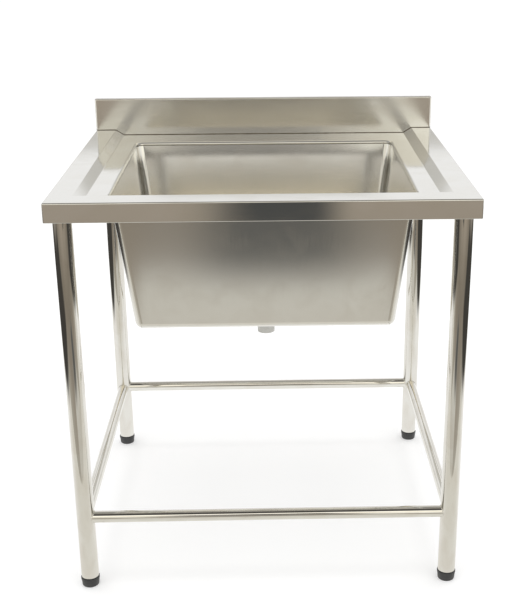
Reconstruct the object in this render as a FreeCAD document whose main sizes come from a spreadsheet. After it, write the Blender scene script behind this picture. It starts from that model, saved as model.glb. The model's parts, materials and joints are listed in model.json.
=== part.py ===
import FreeCAD, Part
import math
import os

import Sketcher

# A free-standing utility laundry sink of folded and welded stainless sheet on a tube underframe.
# Millimetres, +Z up, the front faces -Y. The origin is on the floor, under the middle of the sink.

doc = FreeCAD.newDocument("laundry_sink")

# ---------------------------------------------------------------- driving dimensions

sizes = {
    # worktop
    "deckWidth": 850.0,
    "deckDepth": 750.0,
    "rimHeight": 872.0,          # floor to the top of the raised border
    "sheetGauge": 1.2,
    "apronHeight": 40.0,
    "apronReturn": 10.0,         # safe edge folded inwards under the apron
    "borderSide": 50.0,
    "borderFront": 58.0,
    "stepRun": 20.0,             # the slope from the border down to the inner deck
    "stepDrop": 12.5,
    "bendRadius": 3.0,
    # splashback
    "splashHeight": 78.0,        # above the raised border
    "splashDepth": 16.0,
    "splashLip": 12.0,
    # bowl
    "bowlWidth": 620.0,
    "bowlLength": 530.0,         # front to back
    "bowlSetback": 101.0,        # splashback face to the rear edge of the opening
    "bowlDepth": 300.0,
    "bowlTaper": 35.0,           # each wall leans in by this much at the floor
    "bowlCornerRadius": 16.0,
    "bowlFloorRadius": 15.0,
    "rimLip": 8.0,               # the opening's edge is drawn down to meet the bowl wall
    "rimRadius": 3.5,
    # waste fitting
    "wasteCupRadius": 42.5,
    "wasteWall": 1.5,
    "wasteCupDepth": 40.0,
    "cupRounding": 4.0,
    "wasteHoleGap": 1.5,         # between the cup and the hole in the bowl
    "wasteFlangeWidth": 13.5,
    "flangeEdge": 0.8,           # upright edge of the flange, below its bevel
    "flangeBevel": 2.0,
    "recessDepth": 3.0,
    "recessGap": 2.0,
    "sealThickness": 1.5,
    "sealInset": 1.0,
    "lowerSealThickness": 3.0,
    "slipRingThickness": 1.0,
    "backnutWidth": 6.5,
    "backnutHeight": 11.0,
    "lugLength": 4.0,
    "lugWidth": 12.0,
    "lugCount": 6,
    "spigotWall": 3.0,
    "spigotLength": 17.0,
    "tailRadius": 20.0,          # 40 mm waste pipe
    "tailWall": 1.2,
    "tailLength": 34.0,
    "tailFlange": 2.5,
    "tailFlangeWidth": 3.9,      # up to the inch and a half pipe thread
    "tailShoulder": 0.8,         # the pipe is thicker where the nut grips it
    "tailCone": 2.0,
    "tailWasher": 3.0,
    "tailNutWall": 7.1,
    "tailNutHeight": 24.0,
    "tailNutFloor": 9.5,
    "threadGap": 0.08,
    # strainer basket
    "basketGap": 1.5,
    "basketBrim": 4.0,
    "basketLean": 5.0,
    "basketDepth": 27.0,
    "basketWall": 0.9,
    "slotWidth": 2.4,
    "slotHeight": 11.0,
    "slotRise": 8.0,             # from the basket's floor to the foot of each slot
    "slotCount": 16,
    "holeRadius": 1.5,
    "holeCount": 24,
    "stopperLap": 3.5,
    "stopperHeight": 5.0,
    "stopperBevel": 1.5,
    "knobRadius": 9.0,
    "knobHeight": 7.0,
    "knobBevel": 1.5,
    "knobDrop": 2.0,             # the knob's top lies this far below the basket's brim
    "postRadius": 3.5,
    # underframe
    "legDiameter": 38.1,
    "legWall": 1.2,
    "railDiameter": 25.4,
    "railWall": 1.2,
    "railHeight": 168.0,
    # stiffening under the deck
    "channelGauge": 2.0,
    "channelLap": 15.0,          # how far the side channel reaches under the inner deck
    "channelFlange": 22.0,
    "channelUpturn": 6.0,
    "hatWidth": 34.0,
    "hatBrim": 9.0,
    "hatDepth": 20.0,
    "channelGap": 1.0,
    # leg sockets
    "socketWall": 2.0,
    "socketLength": 21.0,
    "socketGap": 0.1,
    "grubRadius": 3.0,
    "grubLength": 8.0,
    # levelling feet
    "footHeight": 23.0,          # floor to the end of the tube
    "insertFlange": 1.5,
    "insertLength": 30.0,
    "insertBevel": 2.0,
    "ringProud": 1.25,           # beyond the outside of the leg
    "ringHeight": 6.0,
    "ringBevel": 0.6,
    "padProud": 0.55,
    "padTaper": 1.4,
    "padRounding": 3.0,
    "studRadius": 5.0,
    "studLength": 52.0,
    "studBevel": 1.0,
    "bossRadius": 7.5,
    "bossLength": 7.0,
    "runningGap": 0.3,
    "fitGap": 0.08,
}

sheet = doc.addObject("Spreadsheet::Sheet", "sizes")
for row, (alias, value) in enumerate(sizes.items(), start=1):
    sheet.set("A%d" % row, alias)
    sheet.set("B%d" % row, str(value))
    sheet.setAlias("B%d" % row, alias)
doc.recompute()

# Places that several pieces share, written once as expressions.
innerDeck = "(sizes.rimHeight - sizes.stepDrop)"
deckUnderside = "(sizes.rimHeight - sizes.stepDrop - sizes.sheetGauge)"
apronFoot = "(sizes.rimHeight - sizes.apronHeight)"
splashFace = "(sizes.deckDepth / 2 - sizes.splashDepth)"
bowlMiddle = "(sizes.deckDepth / 2 - sizes.splashDepth - sizes.bowlSetback - sizes.bowlLength / 2)"
bowlTop = "(sizes.rimHeight - sizes.stepDrop - sizes.rimLip)"
bowlFloor = "(sizes.rimHeight - sizes.stepDrop - sizes.bowlDepth)"
recessFloor = "(sizes.rimHeight - sizes.stepDrop - sizes.bowlDepth - sizes.recessDepth)"
legTop = "(sizes.rimHeight - sizes.stepDrop - sizes.sheetGauge - sizes.channelGauge)"
flangeRadius = "(sizes.wasteCupRadius + sizes.wasteFlangeWidth)"
holeInBowl = "(sizes.wasteCupRadius + sizes.wasteHoleGap)"
legRadius = "(sizes.legDiameter / 2)"
# A leg stands as near the corner as its socket allows beside the folded edge of the apron.
socketRadius = "(" + legRadius + " + sizes.socketGap + sizes.socketWall)"
legInset = "(sizes.apronReturn + sizes.runningGap + " + socketRadius + ")"
legX = "(sizes.deckWidth / 2 - " + legInset + ")"
legRearY = "(sizes.deckDepth / 2 - " + legInset + ")"
legFrontY = "(-sizes.deckDepth / 2 + " + legInset + ")"

subParts = []

# ---------------------------------------------------------------- helpers


def keep(shapeObject, label):
    """Labels a finished piece and puts it on the list of sub-parts."""
    shapeObject.Label = label
    subParts.append(shapeObject)
    return shapeObject


def newBody(label):
    return keep(doc.addObject("PartDesign::Body", label), label)


def originPlane(body, role):
    return next(f for f in body.Origin.OriginFeatures if f.Role == role)


def attach(item, body, role, height=None):
    item.AttachmentSupport = (originPlane(body, role), [""])
    item.MapMode = "FlatFace"
    if height:
        item.setExpression("AttachmentOffset.Base.z", height)


def polygonSketch(body, role, corners, height=None):
    """A closed outline: each corner is pinned to the origin by two bound distances."""
    sketch = body.newObject("Sketcher::SketchObject", "outline")
    attach(sketch, body, role, height)
    count = len(corners)
    for i in range(count):
        a = 2 * math.pi * i / count
        b = 2 * math.pi * (i + 1) / count
        start = FreeCAD.Vector(100 * math.cos(a), 100 * math.sin(a), 0)
        end = FreeCAD.Vector(100 * math.cos(b), 100 * math.sin(b), 0)
        sketch.addGeometry(Part.LineSegment(start, end), False)
    for i in range(count):
        sketch.addConstraint(Sketcher.Constraint("Coincident", i, 2, (i + 1) % count, 1))
    for i, (across, up) in enumerate(corners):
        for kind, text in (("DistanceX", across), ("DistanceY", up)):
            index = sketch.addConstraint(Sketcher.Constraint(kind, -1, 1, i, 1, 1.0))
            sketch.setExpression("Constraints[%d]" % index, text)
    doc.recompute()
    return sketch


def rectangle(left, right, near, far):
    return [(left, near), (right, near), (right, far), (left, far)]


def roundedSketch(body, role, halfX, halfY, radius, middle, height):
    """A rectangle with rounded corners, centred on the middle plane at a given place along Y."""
    sketch = body.newObject("Sketcher::SketchObject", "roundedOutline")
    attach(sketch, body, role, height)
    halfA, halfB, r = 200.0, 150.0, 20.0
    ends = [((-halfA + r, -halfB), (halfA - r, -halfB)), ((halfA, -halfB + r), (halfA, halfB - r)),
            ((halfA - r, halfB), (-halfA + r, halfB)), ((-halfA, halfB - r), (-halfA, -halfB + r))]
    centres = [(halfA - r, -halfB + r), (halfA - r, halfB - r),
               (-halfA + r, halfB - r), (-halfA + r, -halfB + r)]
    for start, end in ends:
        sketch.addGeometry(Part.LineSegment(FreeCAD.Vector(*start, 0), FreeCAD.Vector(*end, 0)), False)
    for i, centre in enumerate(centres):
        circle = Part.Circle(FreeCAD.Vector(*centre, 0), FreeCAD.Vector(0, 0, 1), r)
        turn = (i - 1) * math.pi / 2
        sketch.addGeometry(Part.ArcOfCircle(circle, turn, turn + math.pi / 2), False)
    for i in range(4):
        sketch.addConstraint(Sketcher.Constraint("Tangent", i, 2, 4 + i, 1))
        sketch.addConstraint(Sketcher.Constraint("Tangent", 4 + i, 2, (i + 1) % 4, 1))
        sketch.addConstraint(Sketcher.Constraint("Vertical" if i % 2 else "Horizontal", i))
    for i in range(5, 8):
        sketch.addConstraint(Sketcher.Constraint("Equal", 4, i))
    bound = [
        (Sketcher.Constraint("Radius", 4, r), radius),
        (Sketcher.Constraint("DistanceX", -1, 1, 1, 1, halfA), halfX),
        (Sketcher.Constraint("DistanceX", -1, 1, 3, 1, -halfA), "-(" + halfX + ")"),
        (Sketcher.Constraint("DistanceY", -1, 1, 0, 1, -halfB), middle + " - (" + halfY + ")"),
        (Sketcher.Constraint("DistanceY", -1, 1, 2, 1, halfB), middle + " + " + halfY),
    ]
    for constraint, text in bound:
        sketch.setExpression("Constraints[%d]" % sketch.addConstraint(constraint), text)
    doc.recompute()
    return sketch


def circleSketch(body, role, circles, height=None):
    """Circles given as (across, up, radius); the first may hold the others as holes."""
    sketch = body.newObject("Sketcher::SketchObject", "circles")
    attach(sketch, body, role, height)
    for i, (across, up, radius) in enumerate(circles):
        sketch.addGeometry(Part.Circle(FreeCAD.Vector(1, 1, 0), FreeCAD.Vector(0, 0, 1), 5), False)
        bound = (("DistanceX", (-1, 1, i, 3), across), ("DistanceY", (-1, 1, i, 3), up))
        for kind, ends, text in bound:
            index = sketch.addConstraint(Sketcher.Constraint(kind, *ends, 1.0))
            sketch.setExpression("Constraints[%d]" % index, text)
        index = sketch.addConstraint(Sketcher.Constraint("Radius", i, 5.0))
        sketch.setExpression("Constraints[%d]" % index, radius)
    doc.recompute()
    return sketch


def pad(body, sketch, length, down=False):
    feature = body.newObject("PartDesign::Pad", "pad")
    feature.Profile = sketch
    feature.Reversed = down
    feature.setExpression("Length", length)
    doc.recompute()
    return feature


def pocket(body, sketch, length, up=False):
    feature = body.newObject("PartDesign::Pocket", "pocket")
    feature.Profile = sketch
    feature.Reversed = up
    feature.setExpression("Length", length)
    doc.recompute()
    return feature


def wedge(body, kind, heights, halfX, halfY, lean, rear=None):
    """A block with sloping walls: its half sizes at the top, and how far each wall leans in at the foot.

    The primitive grows along its own Y, so it is stood up: its Z then runs towards the front.
    """
    block = body.newObject(kind, "wedge")
    block.AttachmentSupport = (originPlane(body, "XY_Plane"), [""])
    block.MapMode = "FlatFace"
    block.AttachmentOffset = FreeCAD.Placement(FreeCAD.Vector(0, 0, 0),
                                               FreeCAD.Rotation(FreeCAD.Vector(1, 0, 0), 90))
    block.Ymin, block.Ymax = 0, 10
    block.Xmin, block.Xmax, block.X2min, block.X2max = -100, 100, -110, 110
    block.Zmin, block.Zmax, block.Z2min, block.Z2max = -100, 100, -110, 110
    bound = {
        "Ymin": heights[0],
        "Ymax": heights[1],
        "Xmin": "-(" + halfX + ") + " + lean,
        "Xmax": halfX + " - " + lean,
        "X2min": "-(" + halfX + ")",
        "X2max": halfX,
        "Zmin": rear or "-(" + halfY + ") + " + lean,
        "Zmax": halfY + " - " + lean,
        "Z2min": rear or "-(" + halfY + ")",
        "Z2max": halfY,
    }
    for name, text in bound.items():
        block.setExpression(name, text)
    doc.recompute()
    return block


def turned(body, profile):
    """Revolves a profile of (radius, height) corners about the body's own Z axis."""
    sketch = polygonSketch(body, "XZ_Plane", profile)
    feature = body.newObject("PartDesign::Revolution", "turned")
    feature.Profile = sketch
    feature.ReferenceAxis = (sketch, ["V_Axis"])
    feature.Angle = 360
    doc.recompute()
    return feature


def edgesWhere(shape, test):
    return ["Edge%d" % (i + 1) for i, edge in enumerate(shape.Edges) if test(edge)]


def roundEdges(body, test, radius):
    base = body.Tip
    names = edgesWhere(base.Shape, test)
    feature = body.newObject("PartDesign::Fillet", "rounding")
    feature.Base = (base, names)
    feature.setExpression("Radius", radius)
    doc.recompute()
    return feature


def hollow(body, openFaces, wall):
    """Leaves a wall inside the outer faces, open where the test says."""
    base = body.Tip
    names = ["Face%d" % (i + 1) for i, face in enumerate(base.Shape.Faces) if openFaces(face)]
    feature = body.newObject("PartDesign::Thickness", "wall")
    feature.Base = (base, names)
    feature.Reversed = True
    feature.Join = 1
    feature.setExpression("Value", wall)
    doc.recompute()
    return feature


def place(item, x="0", y="0", z="0"):
    for axis, text in zip("xyz", (x, y, z)):
        item.setExpression("Placement.Base." + axis, text)


def near(a, b, tolerance=0.05):
    return abs(a - b) < tolerance


def isLevel(edge, height):
    box = edge.BoundBox
    return near(box.ZMin, height) and near(box.ZMax, height)


def isUpright(edge):
    box = edge.BoundBox
    return box.XLength < 0.05 and box.YLength < 0.05 and box.ZLength > 1


def cylinder(name, radius, length):
    item = doc.addObject("Part::Cylinder", name)
    item.setExpression("Radius", radius)
    item.setExpression("Height", length)
    return item


def cutFrom(name, base, tool):
    item = doc.addObject("Part::Cut", name)
    item.Base = base
    item.Tool = tool
    return item


def tube(name, diameter, wall, length):
    outer = cylinder(name + "_outside", diameter + " / 2", length)
    inner = cylinder(name + "_bore", diameter + " / 2 - " + wall, length)
    return cutFrom(name, outer, inner)


# ---------------------------------------------------------------- worktop


def buildDeck():
    body = newBody("deck")
    halfWidth = sizes["deckWidth"] / 2
    halfDepth = sizes["deckDepth"] / 2
    rim = sizes["rimHeight"]
    inner = rim - sizes["stepDrop"]
    gauge = sizes["sheetGauge"]

    outline = rectangle("-sizes.deckWidth / 2", "sizes.deckWidth / 2",
                        "-sizes.deckDepth / 2", "sizes.deckDepth / 2")
    pad(body, polygonSketch(body, "XY_Plane", outline, apronFoot), "sizes.apronHeight")

    inside = rectangle("-sizes.deckWidth / 2 + sizes.sheetGauge", "sizes.deckWidth / 2 - sizes.sheetGauge",
                       "-sizes.deckDepth / 2 + sizes.sheetGauge", "sizes.deckDepth / 2 - sizes.sheetGauge")
    pocket(body, polygonSketch(body, "XY_Plane", inside, apronFoot),
           "sizes.apronHeight - sizes.sheetGauge", up=True)

    # The step is one wedge of sheet thickness below another that is cut away. Both are open at the rear,
    # and the lower one is larger by the gauge, measured square to the slope.
    slant = "(sizes.sheetGauge * sqrt(sizes.stepRun ^ 2 + sizes.stepDrop ^ 2) / sizes.stepDrop)"
    under = "(sizes.sheetGauge * sizes.stepRun / sizes.stepDrop)"
    wedge(body, "PartDesign::AdditiveWedge", (deckUnderside, "sizes.rimHeight"),
          "sizes.deckWidth / 2 - sizes.borderSide + " + slant,
          "sizes.deckDepth / 2 - sizes.borderFront + " + slant,
          "(sizes.stepRun + " + under + ")", rear="-sizes.deckDepth / 2 + sizes.sheetGauge / 2")
    wedge(body, "PartDesign::SubtractiveWedge", (innerDeck, "sizes.rimHeight"),
          "sizes.deckWidth / 2 - sizes.borderSide", "sizes.deckDepth / 2 - sizes.borderFront",
          "sizes.stepRun", rear="-sizes.deckDepth")

    def isBend(edge):
        box = edge.BoundBox
        atRear = near(box.YMin, halfDepth) and near(box.YMax, halfDepth)
        corner = isUpright(edge) and near(abs(box.XMin), halfWidth)
        return corner or (not atRear and (isLevel(edge, rim) or isLevel(edge, inner)))

    def isInsideBend(edge):
        box = edge.BoundBox
        wall = near(abs(box.XMin), halfWidth - gauge) or near(abs(box.YMin), halfDepth - gauge)
        return wall and (isLevel(edge, rim - gauge) or isUpright(edge))

    roundEdges(body, isBend, "sizes.bendRadius")
    roundEdges(body, isInsideBend, "sizes.bendRadius - sizes.sheetGauge")

    # Safe edge folded in under the aprons.
    inset = "(sizes.sheetGauge / 2)"
    ring = rectangle("-sizes.deckWidth / 2 + " + inset, "sizes.deckWidth / 2 - " + inset,
                     "-sizes.deckDepth / 2 + " + inset, "sizes.deckDepth / 2 - " + inset)
    pad(body, polygonSketch(body, "XY_Plane", ring, apronFoot), "sizes.sheetGauge")
    clear = rectangle("-sizes.deckWidth / 2 + sizes.apronReturn", "sizes.deckWidth / 2 - sizes.apronReturn",
                      "-sizes.deckDepth / 2 + sizes.apronReturn", "sizes.deckDepth / 2 - sizes.apronReturn")
    pocket(body, polygonSketch(body, "XY_Plane", clear, apronFoot), "sizes.sheetGauge * 1.5", up=True)

    # The edge of the opening is drawn down, and the bowl wall is welded to it.
    lip = roundedSketch(body, "XY_Plane", "sizes.bowlWidth / 2 + sizes.sheetGauge",
                        "sizes.bowlLength / 2 + sizes.sheetGauge",
                        "sizes.bowlCornerRadius + sizes.sheetGauge", bowlMiddle, bowlTop)
    pad(body, lip, "sizes.rimLip - sizes.sheetGauge / 2")
    opening = roundedSketch(body, "XY_Plane", "sizes.bowlWidth / 2", "sizes.bowlLength / 2",
                            "sizes.bowlCornerRadius", bowlMiddle, bowlTop)
    pocket(body, opening, "sizes.rimLip * 2", up=True)

    def isHoleRim(edge):
        box = edge.BoundBox
        middle = halfDepth - sizes["splashDepth"] - sizes["bowlSetback"] - sizes["bowlLength"] / 2
        inX = max(abs(box.XMin), abs(box.XMax)) < sizes["bowlWidth"] / 2 + 0.1
        inY = max(abs(box.YMin - middle), abs(box.YMax - middle)) < sizes["bowlLength"] / 2 + 0.1
        return isLevel(edge, inner) and inX and inY

    roundEdges(body, isHoleRim, "sizes.rimRadius")


# ---------------------------------------------------------------- splashback


def buildSplashback():
    body = newBody("splashback")
    profile = [
        ("-sizes.deckWidth / 2", "sizes.rimHeight"),
        ("-sizes.deckWidth / 2 + sizes.borderSide", "sizes.rimHeight"),
        ("-sizes.deckWidth / 2 + sizes.borderSide + sizes.stepRun", innerDeck),
        ("sizes.deckWidth / 2 - sizes.borderSide - sizes.stepRun", innerDeck),
        ("sizes.deckWidth / 2 - sizes.borderSide", "sizes.rimHeight"),
        ("sizes.deckWidth / 2", "sizes.rimHeight"),
        ("sizes.deckWidth / 2", "sizes.rimHeight + sizes.splashHeight"),
        ("-sizes.deckWidth / 2", "sizes.rimHeight + sizes.splashHeight"),
    ]
    # The XZ plane faces -Y, so its offset runs towards the front.
    sketch = polygonSketch(body, "XZ_Plane", profile, "-" + splashFace)
    pad(body, sketch, "sizes.splashDepth", down=True)
    rear = sizes["deckDepth"] / 2
    face = rear - sizes["splashDepth"]
    top = sizes["rimHeight"] + sizes["splashHeight"]

    def isFold(edge):
        box = edge.BoundBox
        onFace = near(box.YMin, face) and near(box.YMax, face)
        atTop = near(box.ZMin, top)
        atEnd = isUpright(edge) and near(abs(box.XMin), sizes["deckWidth"] / 2)
        return onFace and (atTop or atEnd)

    roundEdges(body, isFold, "sizes.bendRadius")

    inside = rectangle("-sizes.deckWidth / 2 + sizes.sheetGauge", "sizes.deckWidth / 2 - sizes.sheetGauge",
                       innerDeck + " - sizes.splashLip",
                       "sizes.rimHeight + sizes.splashHeight - sizes.sheetGauge")
    pocket(body, polygonSketch(body, "XZ_Plane", inside, "-sizes.deckDepth / 2"),
           "sizes.splashDepth - sizes.sheetGauge", up=True)
    innerFace = face + sizes["sheetGauge"]

    def isInsideFold(edge):
        box = edge.BoundBox
        onFace = near(box.YMin, innerFace) and near(box.YMax, innerFace)
        atTop = near(box.ZMin, top - sizes["sheetGauge"])
        atEnd = isUpright(edge) and near(abs(box.XMin), sizes["deckWidth"] / 2 - sizes["sheetGauge"])
        return onFace and (atTop or atEnd)

    roundEdges(body, isInsideFold, "sizes.bendRadius - sizes.sheetGauge")
    lip = rectangle("-sizes.deckWidth / 2 + sizes.sheetGauge / 2",
                    "sizes.deckWidth / 2 - sizes.sheetGauge / 2",
                    "sizes.rimHeight + sizes.splashHeight - sizes.splashLip",
                    "sizes.rimHeight + sizes.splashHeight - sizes.sheetGauge / 2")
    rearLip = polygonSketch(body, "XZ_Plane", lip, "-sizes.deckDepth / 2")
    pad(body, rearLip, "sizes.sheetGauge")


# ---------------------------------------------------------------- bowl


def buildBowl():
    body = newBody("bowl")
    block = wedge(body, "PartDesign::AdditiveWedge", (bowlFloor + " - sizes.sheetGauge", bowlTop),
                  "sizes.bowlWidth / 2 + sizes.sheetGauge", "sizes.bowlLength / 2 + sizes.sheetGauge",
                  "sizes.bowlTaper")
    low = block.Shape.BoundBox.ZMin
    high = block.Shape.BoundBox.ZMax

    def isWallCorner(edge):
        return edge.BoundBox.ZLength > (high - low) / 2

    roundEdges(body, isWallCorner, "sizes.bowlCornerRadius + sizes.sheetGauge")
    roundEdges(body, lambda edge: isLevel(edge, low), "sizes.bowlFloorRadius + sizes.sheetGauge")

    # A shallow recess lets the waste flange lie level with the floor.
    recessRadius = flangeRadius + " + sizes.recessGap + sizes.sheetGauge"
    recess = circleSketch(body, "XY_Plane", [("0", "0", recessRadius)], recessFloor + " - sizes.sheetGauge")
    pad(body, recess, "sizes.recessDepth + sizes.sheetGauge")
    hollow(body, lambda face: near(face.BoundBox.ZMin, high), "sizes.sheetGauge")
    outlet = circleSketch(body, "XY_Plane", [("0", "0", holeInBowl)],
                          recessFloor + " - sizes.sheetGauge * 2")
    pocket(body, outlet, "sizes.sheetGauge * 4", up=True)
    place(body, y=bowlMiddle)


# ---------------------------------------------------------------- stiffening under the deck


def buildSideChannel(label, side):
    """A folded strip from the apron to the inner deck; the leg sockets hang from it."""
    body = newBody(label)
    gauge = "sizes.channelGauge"
    outside = "(sizes.deckWidth / 2 - sizes.sheetGauge)"
    inside = "(sizes.deckWidth / 2 - sizes.borderSide - sizes.stepRun - sizes.channelLap)"
    profile = [
        (outside, deckUnderside + " - " + gauge),
        (outside, deckUnderside + " + sizes.channelUpturn"),
        (outside + " - " + gauge, deckUnderside + " + sizes.channelUpturn"),
        (outside + " - " + gauge, deckUnderside),
        (inside, deckUnderside),
        (inside, deckUnderside + " - sizes.channelFlange"),
        (inside + " + " + gauge, deckUnderside + " - sizes.channelFlange"),
        (inside + " + " + gauge, deckUnderside + " - " + gauge),
    ]
    if side < 0:
        profile = [("-(" + across + ")", up) for across, up in profile]
    inset = "(sizes.sheetGauge + sizes.bendRadius)"
    sketch = polygonSketch(body, "XZ_Plane", profile, "-sizes.deckDepth / 2 + " + inset)
    pad(body, sketch, "sizes.deckDepth - 2 * " + inset)


def buildHatChannel(label, middle, top):
    """A hat section across the sink with its two brims against the sheet above."""
    body = newBody(label)
    gauge = "sizes.channelGauge"
    half = "(sizes.hatWidth / 2)"
    rightSide = [
        (half + " + sizes.hatBrim", top + " - " + gauge),
        (half + " + sizes.hatBrim", top),
        (half + " - " + gauge, top),
        (half + " - " + gauge, top + " - sizes.hatDepth + " + gauge),
    ]
    leftSide = [("-(" + across + ")", up) for across, up in reversed(rightSide)]
    foot = [("-" + half, top + " - " + gauge), ("-" + half, top + " - sizes.hatDepth"),
            (half, top + " - sizes.hatDepth"), (half, top + " - " + gauge)]
    inside = "(sizes.deckWidth / 2 - sizes.borderSide - sizes.stepRun - sizes.channelLap - sizes.channelGap)"
    sketch = polygonSketch(body, "YZ_Plane", rightSide + leftSide + foot, "-" + inside)
    pad(body, sketch, "2 * " + inside)
    place(body, y=middle)


# ---------------------------------------------------------------- underframe

corners = {
    "front_left": (-1, legFrontY),
    "front_right": (1, legFrontY),
    "rear_left": (-1, legRearY),
    "rear_right": (1, legRearY),
}


def cornerX(side):
    return legX if side > 0 else "-" + legX


def buildLegs():
    for corner, (side, legY) in corners.items():
        leg = tube("leg_" + corner, "sizes.legDiameter", "sizes.legWall", legTop + " - sizes.footHeight")
        keep(leg, "leg_" + corner)
        place(leg, cornerX(side), legY, "sizes.footHeight")


def buildRail(label, span, turn, start):
    """A tube whose two ends are saddle cut to sit on the legs."""
    rail = tube(label + "_tube", "sizes.railDiameter", "sizes.railWall", span)
    for end, height in (("near", "0"), ("far", span)):
        saddle = cylinder(label + "_saddle_" + end, "sizes.legDiameter / 2", "4 * sizes.legDiameter")
        saddle.Placement = FreeCAD.Placement(FreeCAD.Vector(0, 0, 0),
                                             FreeCAD.Rotation(FreeCAD.Vector(0, 1, 0), 90))
        place(saddle, "-2 * sizes.legDiameter", "0", height)
        rail = cutFrom(label + "_" + end, rail, saddle)
    rail.Placement = FreeCAD.Placement(FreeCAD.Vector(0, 0, 0), turn)
    place(rail, *start)
    keep(rail, label)


def buildRails():
    lieDown = FreeCAD.Rotation(FreeCAD.Vector(0, 1, 0), 90)
    turnRight = FreeCAD.Rotation(FreeCAD.Vector(0, 0, 1), 90)
    spanX = "2 * " + legX
    spanY = "(" + legRearY + " - " + legFrontY + ")"
    buildRail("rail_front", spanX, lieDown, ("-" + legX, legFrontY, "sizes.railHeight"))
    buildRail("rail_rear", spanX, lieDown, ("-" + legX, legRearY, "sizes.railHeight"))
    alongY = turnRight.multiply(lieDown)
    buildRail("rail_left", spanY, alongY, ("-" + legX, legFrontY, "sizes.railHeight"))
    buildRail("rail_right", spanY, alongY, (legX, legFrontY, "sizes.railHeight"))


def buildSockets():
    bore = "(" + legRadius + " + sizes.socketGap)"
    screws = []
    for corner, (side, legY) in corners.items():
        outside = cylinder("socket_outside_" + corner, socketRadius, "sizes.socketLength")
        inside = cylinder("socket_bore_" + corner, bore, "sizes.socketLength")
        ring = cutFrom("socket_ring_" + corner, outside, inside)
        # The grub screw's hole goes through the wall that faces the middle of the sink.
        hole = cylinder("socket_hole_" + corner, "sizes.grubRadius", "sizes.legDiameter")
        inward = FreeCAD.Rotation(FreeCAD.Vector(0, 1, 0), -90 * side)
        hole.Placement = FreeCAD.Placement(FreeCAD.Vector(0, 0, 0), inward)
        place(hole, "0", "0", "sizes.socketLength / 2")
        socket = keep(cutFrom("leg_socket_" + corner, ring, hole), "leg_socket_" + corner)
        place(socket, cornerX(side), legY, legTop + " - sizes.socketLength")
        screw = cylinder("grub_" + corner, "sizes.grubRadius - sizes.fitGap", "sizes.grubLength")
        screw.Placement = FreeCAD.Placement(FreeCAD.Vector(0, 0, 0), inward)
        reach = "(" + legRadius + " + sizes.fitGap / 2)"
        screwX = cornerX(side) + (" - " if side > 0 else " + ") + reach
        place(screw, screwX, legY, legTop + " - sizes.socketLength / 2")
        screws.append(screw)
    group = doc.addObject("Part::Compound", "grub_screws")
    group.Links = screws
    keep(group, "grub_screws")


# ---------------------------------------------------------------- levelling feet


def buildFeet():
    ringTop = "(sizes.footHeight - sizes.insertFlange - sizes.runningGap)"
    ringBottom = "(" + ringTop + " - sizes.ringHeight)"
    padTop = "(" + ringBottom + " - sizes.runningGap)"
    ringRadius = "(" + legRadius + " + sizes.ringProud)"
    padRadius = "(" + legRadius + " + sizes.padProud)"
    bore = "(sizes.studRadius + sizes.fitGap)"
    plug = "(" + legRadius + " - sizes.legWall - sizes.fitGap)"
    well = "(sizes.bossRadius + sizes.fitGap)"
    wellFloor = "(" + ringBottom + " - sizes.bossLength - sizes.runningGap)"
    for corner, (side, legY) in corners.items():
        insert = newBody("foot_insert_" + corner)
        turned(insert, [
            (bore, "sizes.footHeight - sizes.insertFlange"),
            (legRadius, "sizes.footHeight - sizes.insertFlange"),
            (legRadius, "sizes.footHeight"),
            (plug, "sizes.footHeight"),
            (plug, "sizes.footHeight + sizes.insertLength - sizes.insertBevel"),
            (plug + " - sizes.insertBevel", "sizes.footHeight + sizes.insertLength"),
            (bore, "sizes.footHeight + sizes.insertLength"),
        ])
        stud = newBody("foot_stud_" + corner)
        turned(stud, [
            ("0", ringBottom),
            ("sizes.studRadius", ringBottom),
            ("sizes.studRadius", ringBottom + " + sizes.studLength - sizes.studBevel"),
            ("sizes.studRadius - sizes.studBevel", ringBottom + " + sizes.studLength"),
            ("0", ringBottom + " + sizes.studLength"),
        ])
        ring = newBody("foot_ring_" + corner)
        turned(ring, [
            ("0", ringBottom + " - sizes.bossLength"),
            ("sizes.bossRadius", ringBottom + " - sizes.bossLength"),
            ("sizes.bossRadius", ringBottom),
            (ringRadius + " - sizes.ringBevel", ringBottom),
            (ringRadius, ringBottom + " + sizes.ringBevel"),
            (ringRadius, ringTop + " - sizes.ringBevel"),
            (ringRadius + " - sizes.ringBevel", ringTop),
            ("sizes.studRadius", ringTop),
            ("sizes.studRadius", ringBottom),
            ("0", ringBottom),
        ])
        base = newBody("foot_pad_" + corner)
        turned(base, [
            ("0", "0"),
            (padRadius + " - sizes.padTaper", "0"),
            (padRadius, padTop),
            (well, padTop),
            (well, wellFloor),
            ("0", wellFloor),
        ])
        roundEdges(base, lambda edge: isLevel(edge, 0) and edge.Length > 50, "sizes.padRounding")
        for piece in (insert, stud, ring, base):
            place(piece, cornerX(side), legY)


# ---------------------------------------------------------------- waste fitting

flangeTop = bowlFloor
cupFloor = "(" + bowlFloor + " - sizes.wasteCupDepth)"
cupInside = "(sizes.wasteCupRadius - sizes.wasteWall)"
spigotRadius = "(sizes.tailRadius + sizes.tailFlangeWidth)"
spigotBore = "(" + spigotRadius + " - sizes.spigotWall)"
spigotEnd = "(" + cupFloor + " - sizes.wasteWall - sizes.spigotLength)"
sealTop = "(" + recessFloor + " + sizes.sealThickness)"
washerFoot = "(" + spigotEnd + " - sizes.tailWasher)"


def plainRing(label, inner, outer, low, high):
    body = newBody(label)
    turned(body, [(inner, low), (outer, low), (outer, high), (inner, high)])
    place(body, y=bowlMiddle)
    return body


def repeatRound(body, feature, label, count):
    """Repeats a feature round the body's Z axis."""
    pattern = body.newObject("PartDesign::PolarPattern", label)
    pattern.Originals = [feature]
    pattern.Axis = (originPlane(body, "Z_Axis"), [""])
    pattern.Angle = 360
    pattern.setExpression("Occurrences", count)
    body.Tip = pattern
    doc.recompute()


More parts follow.
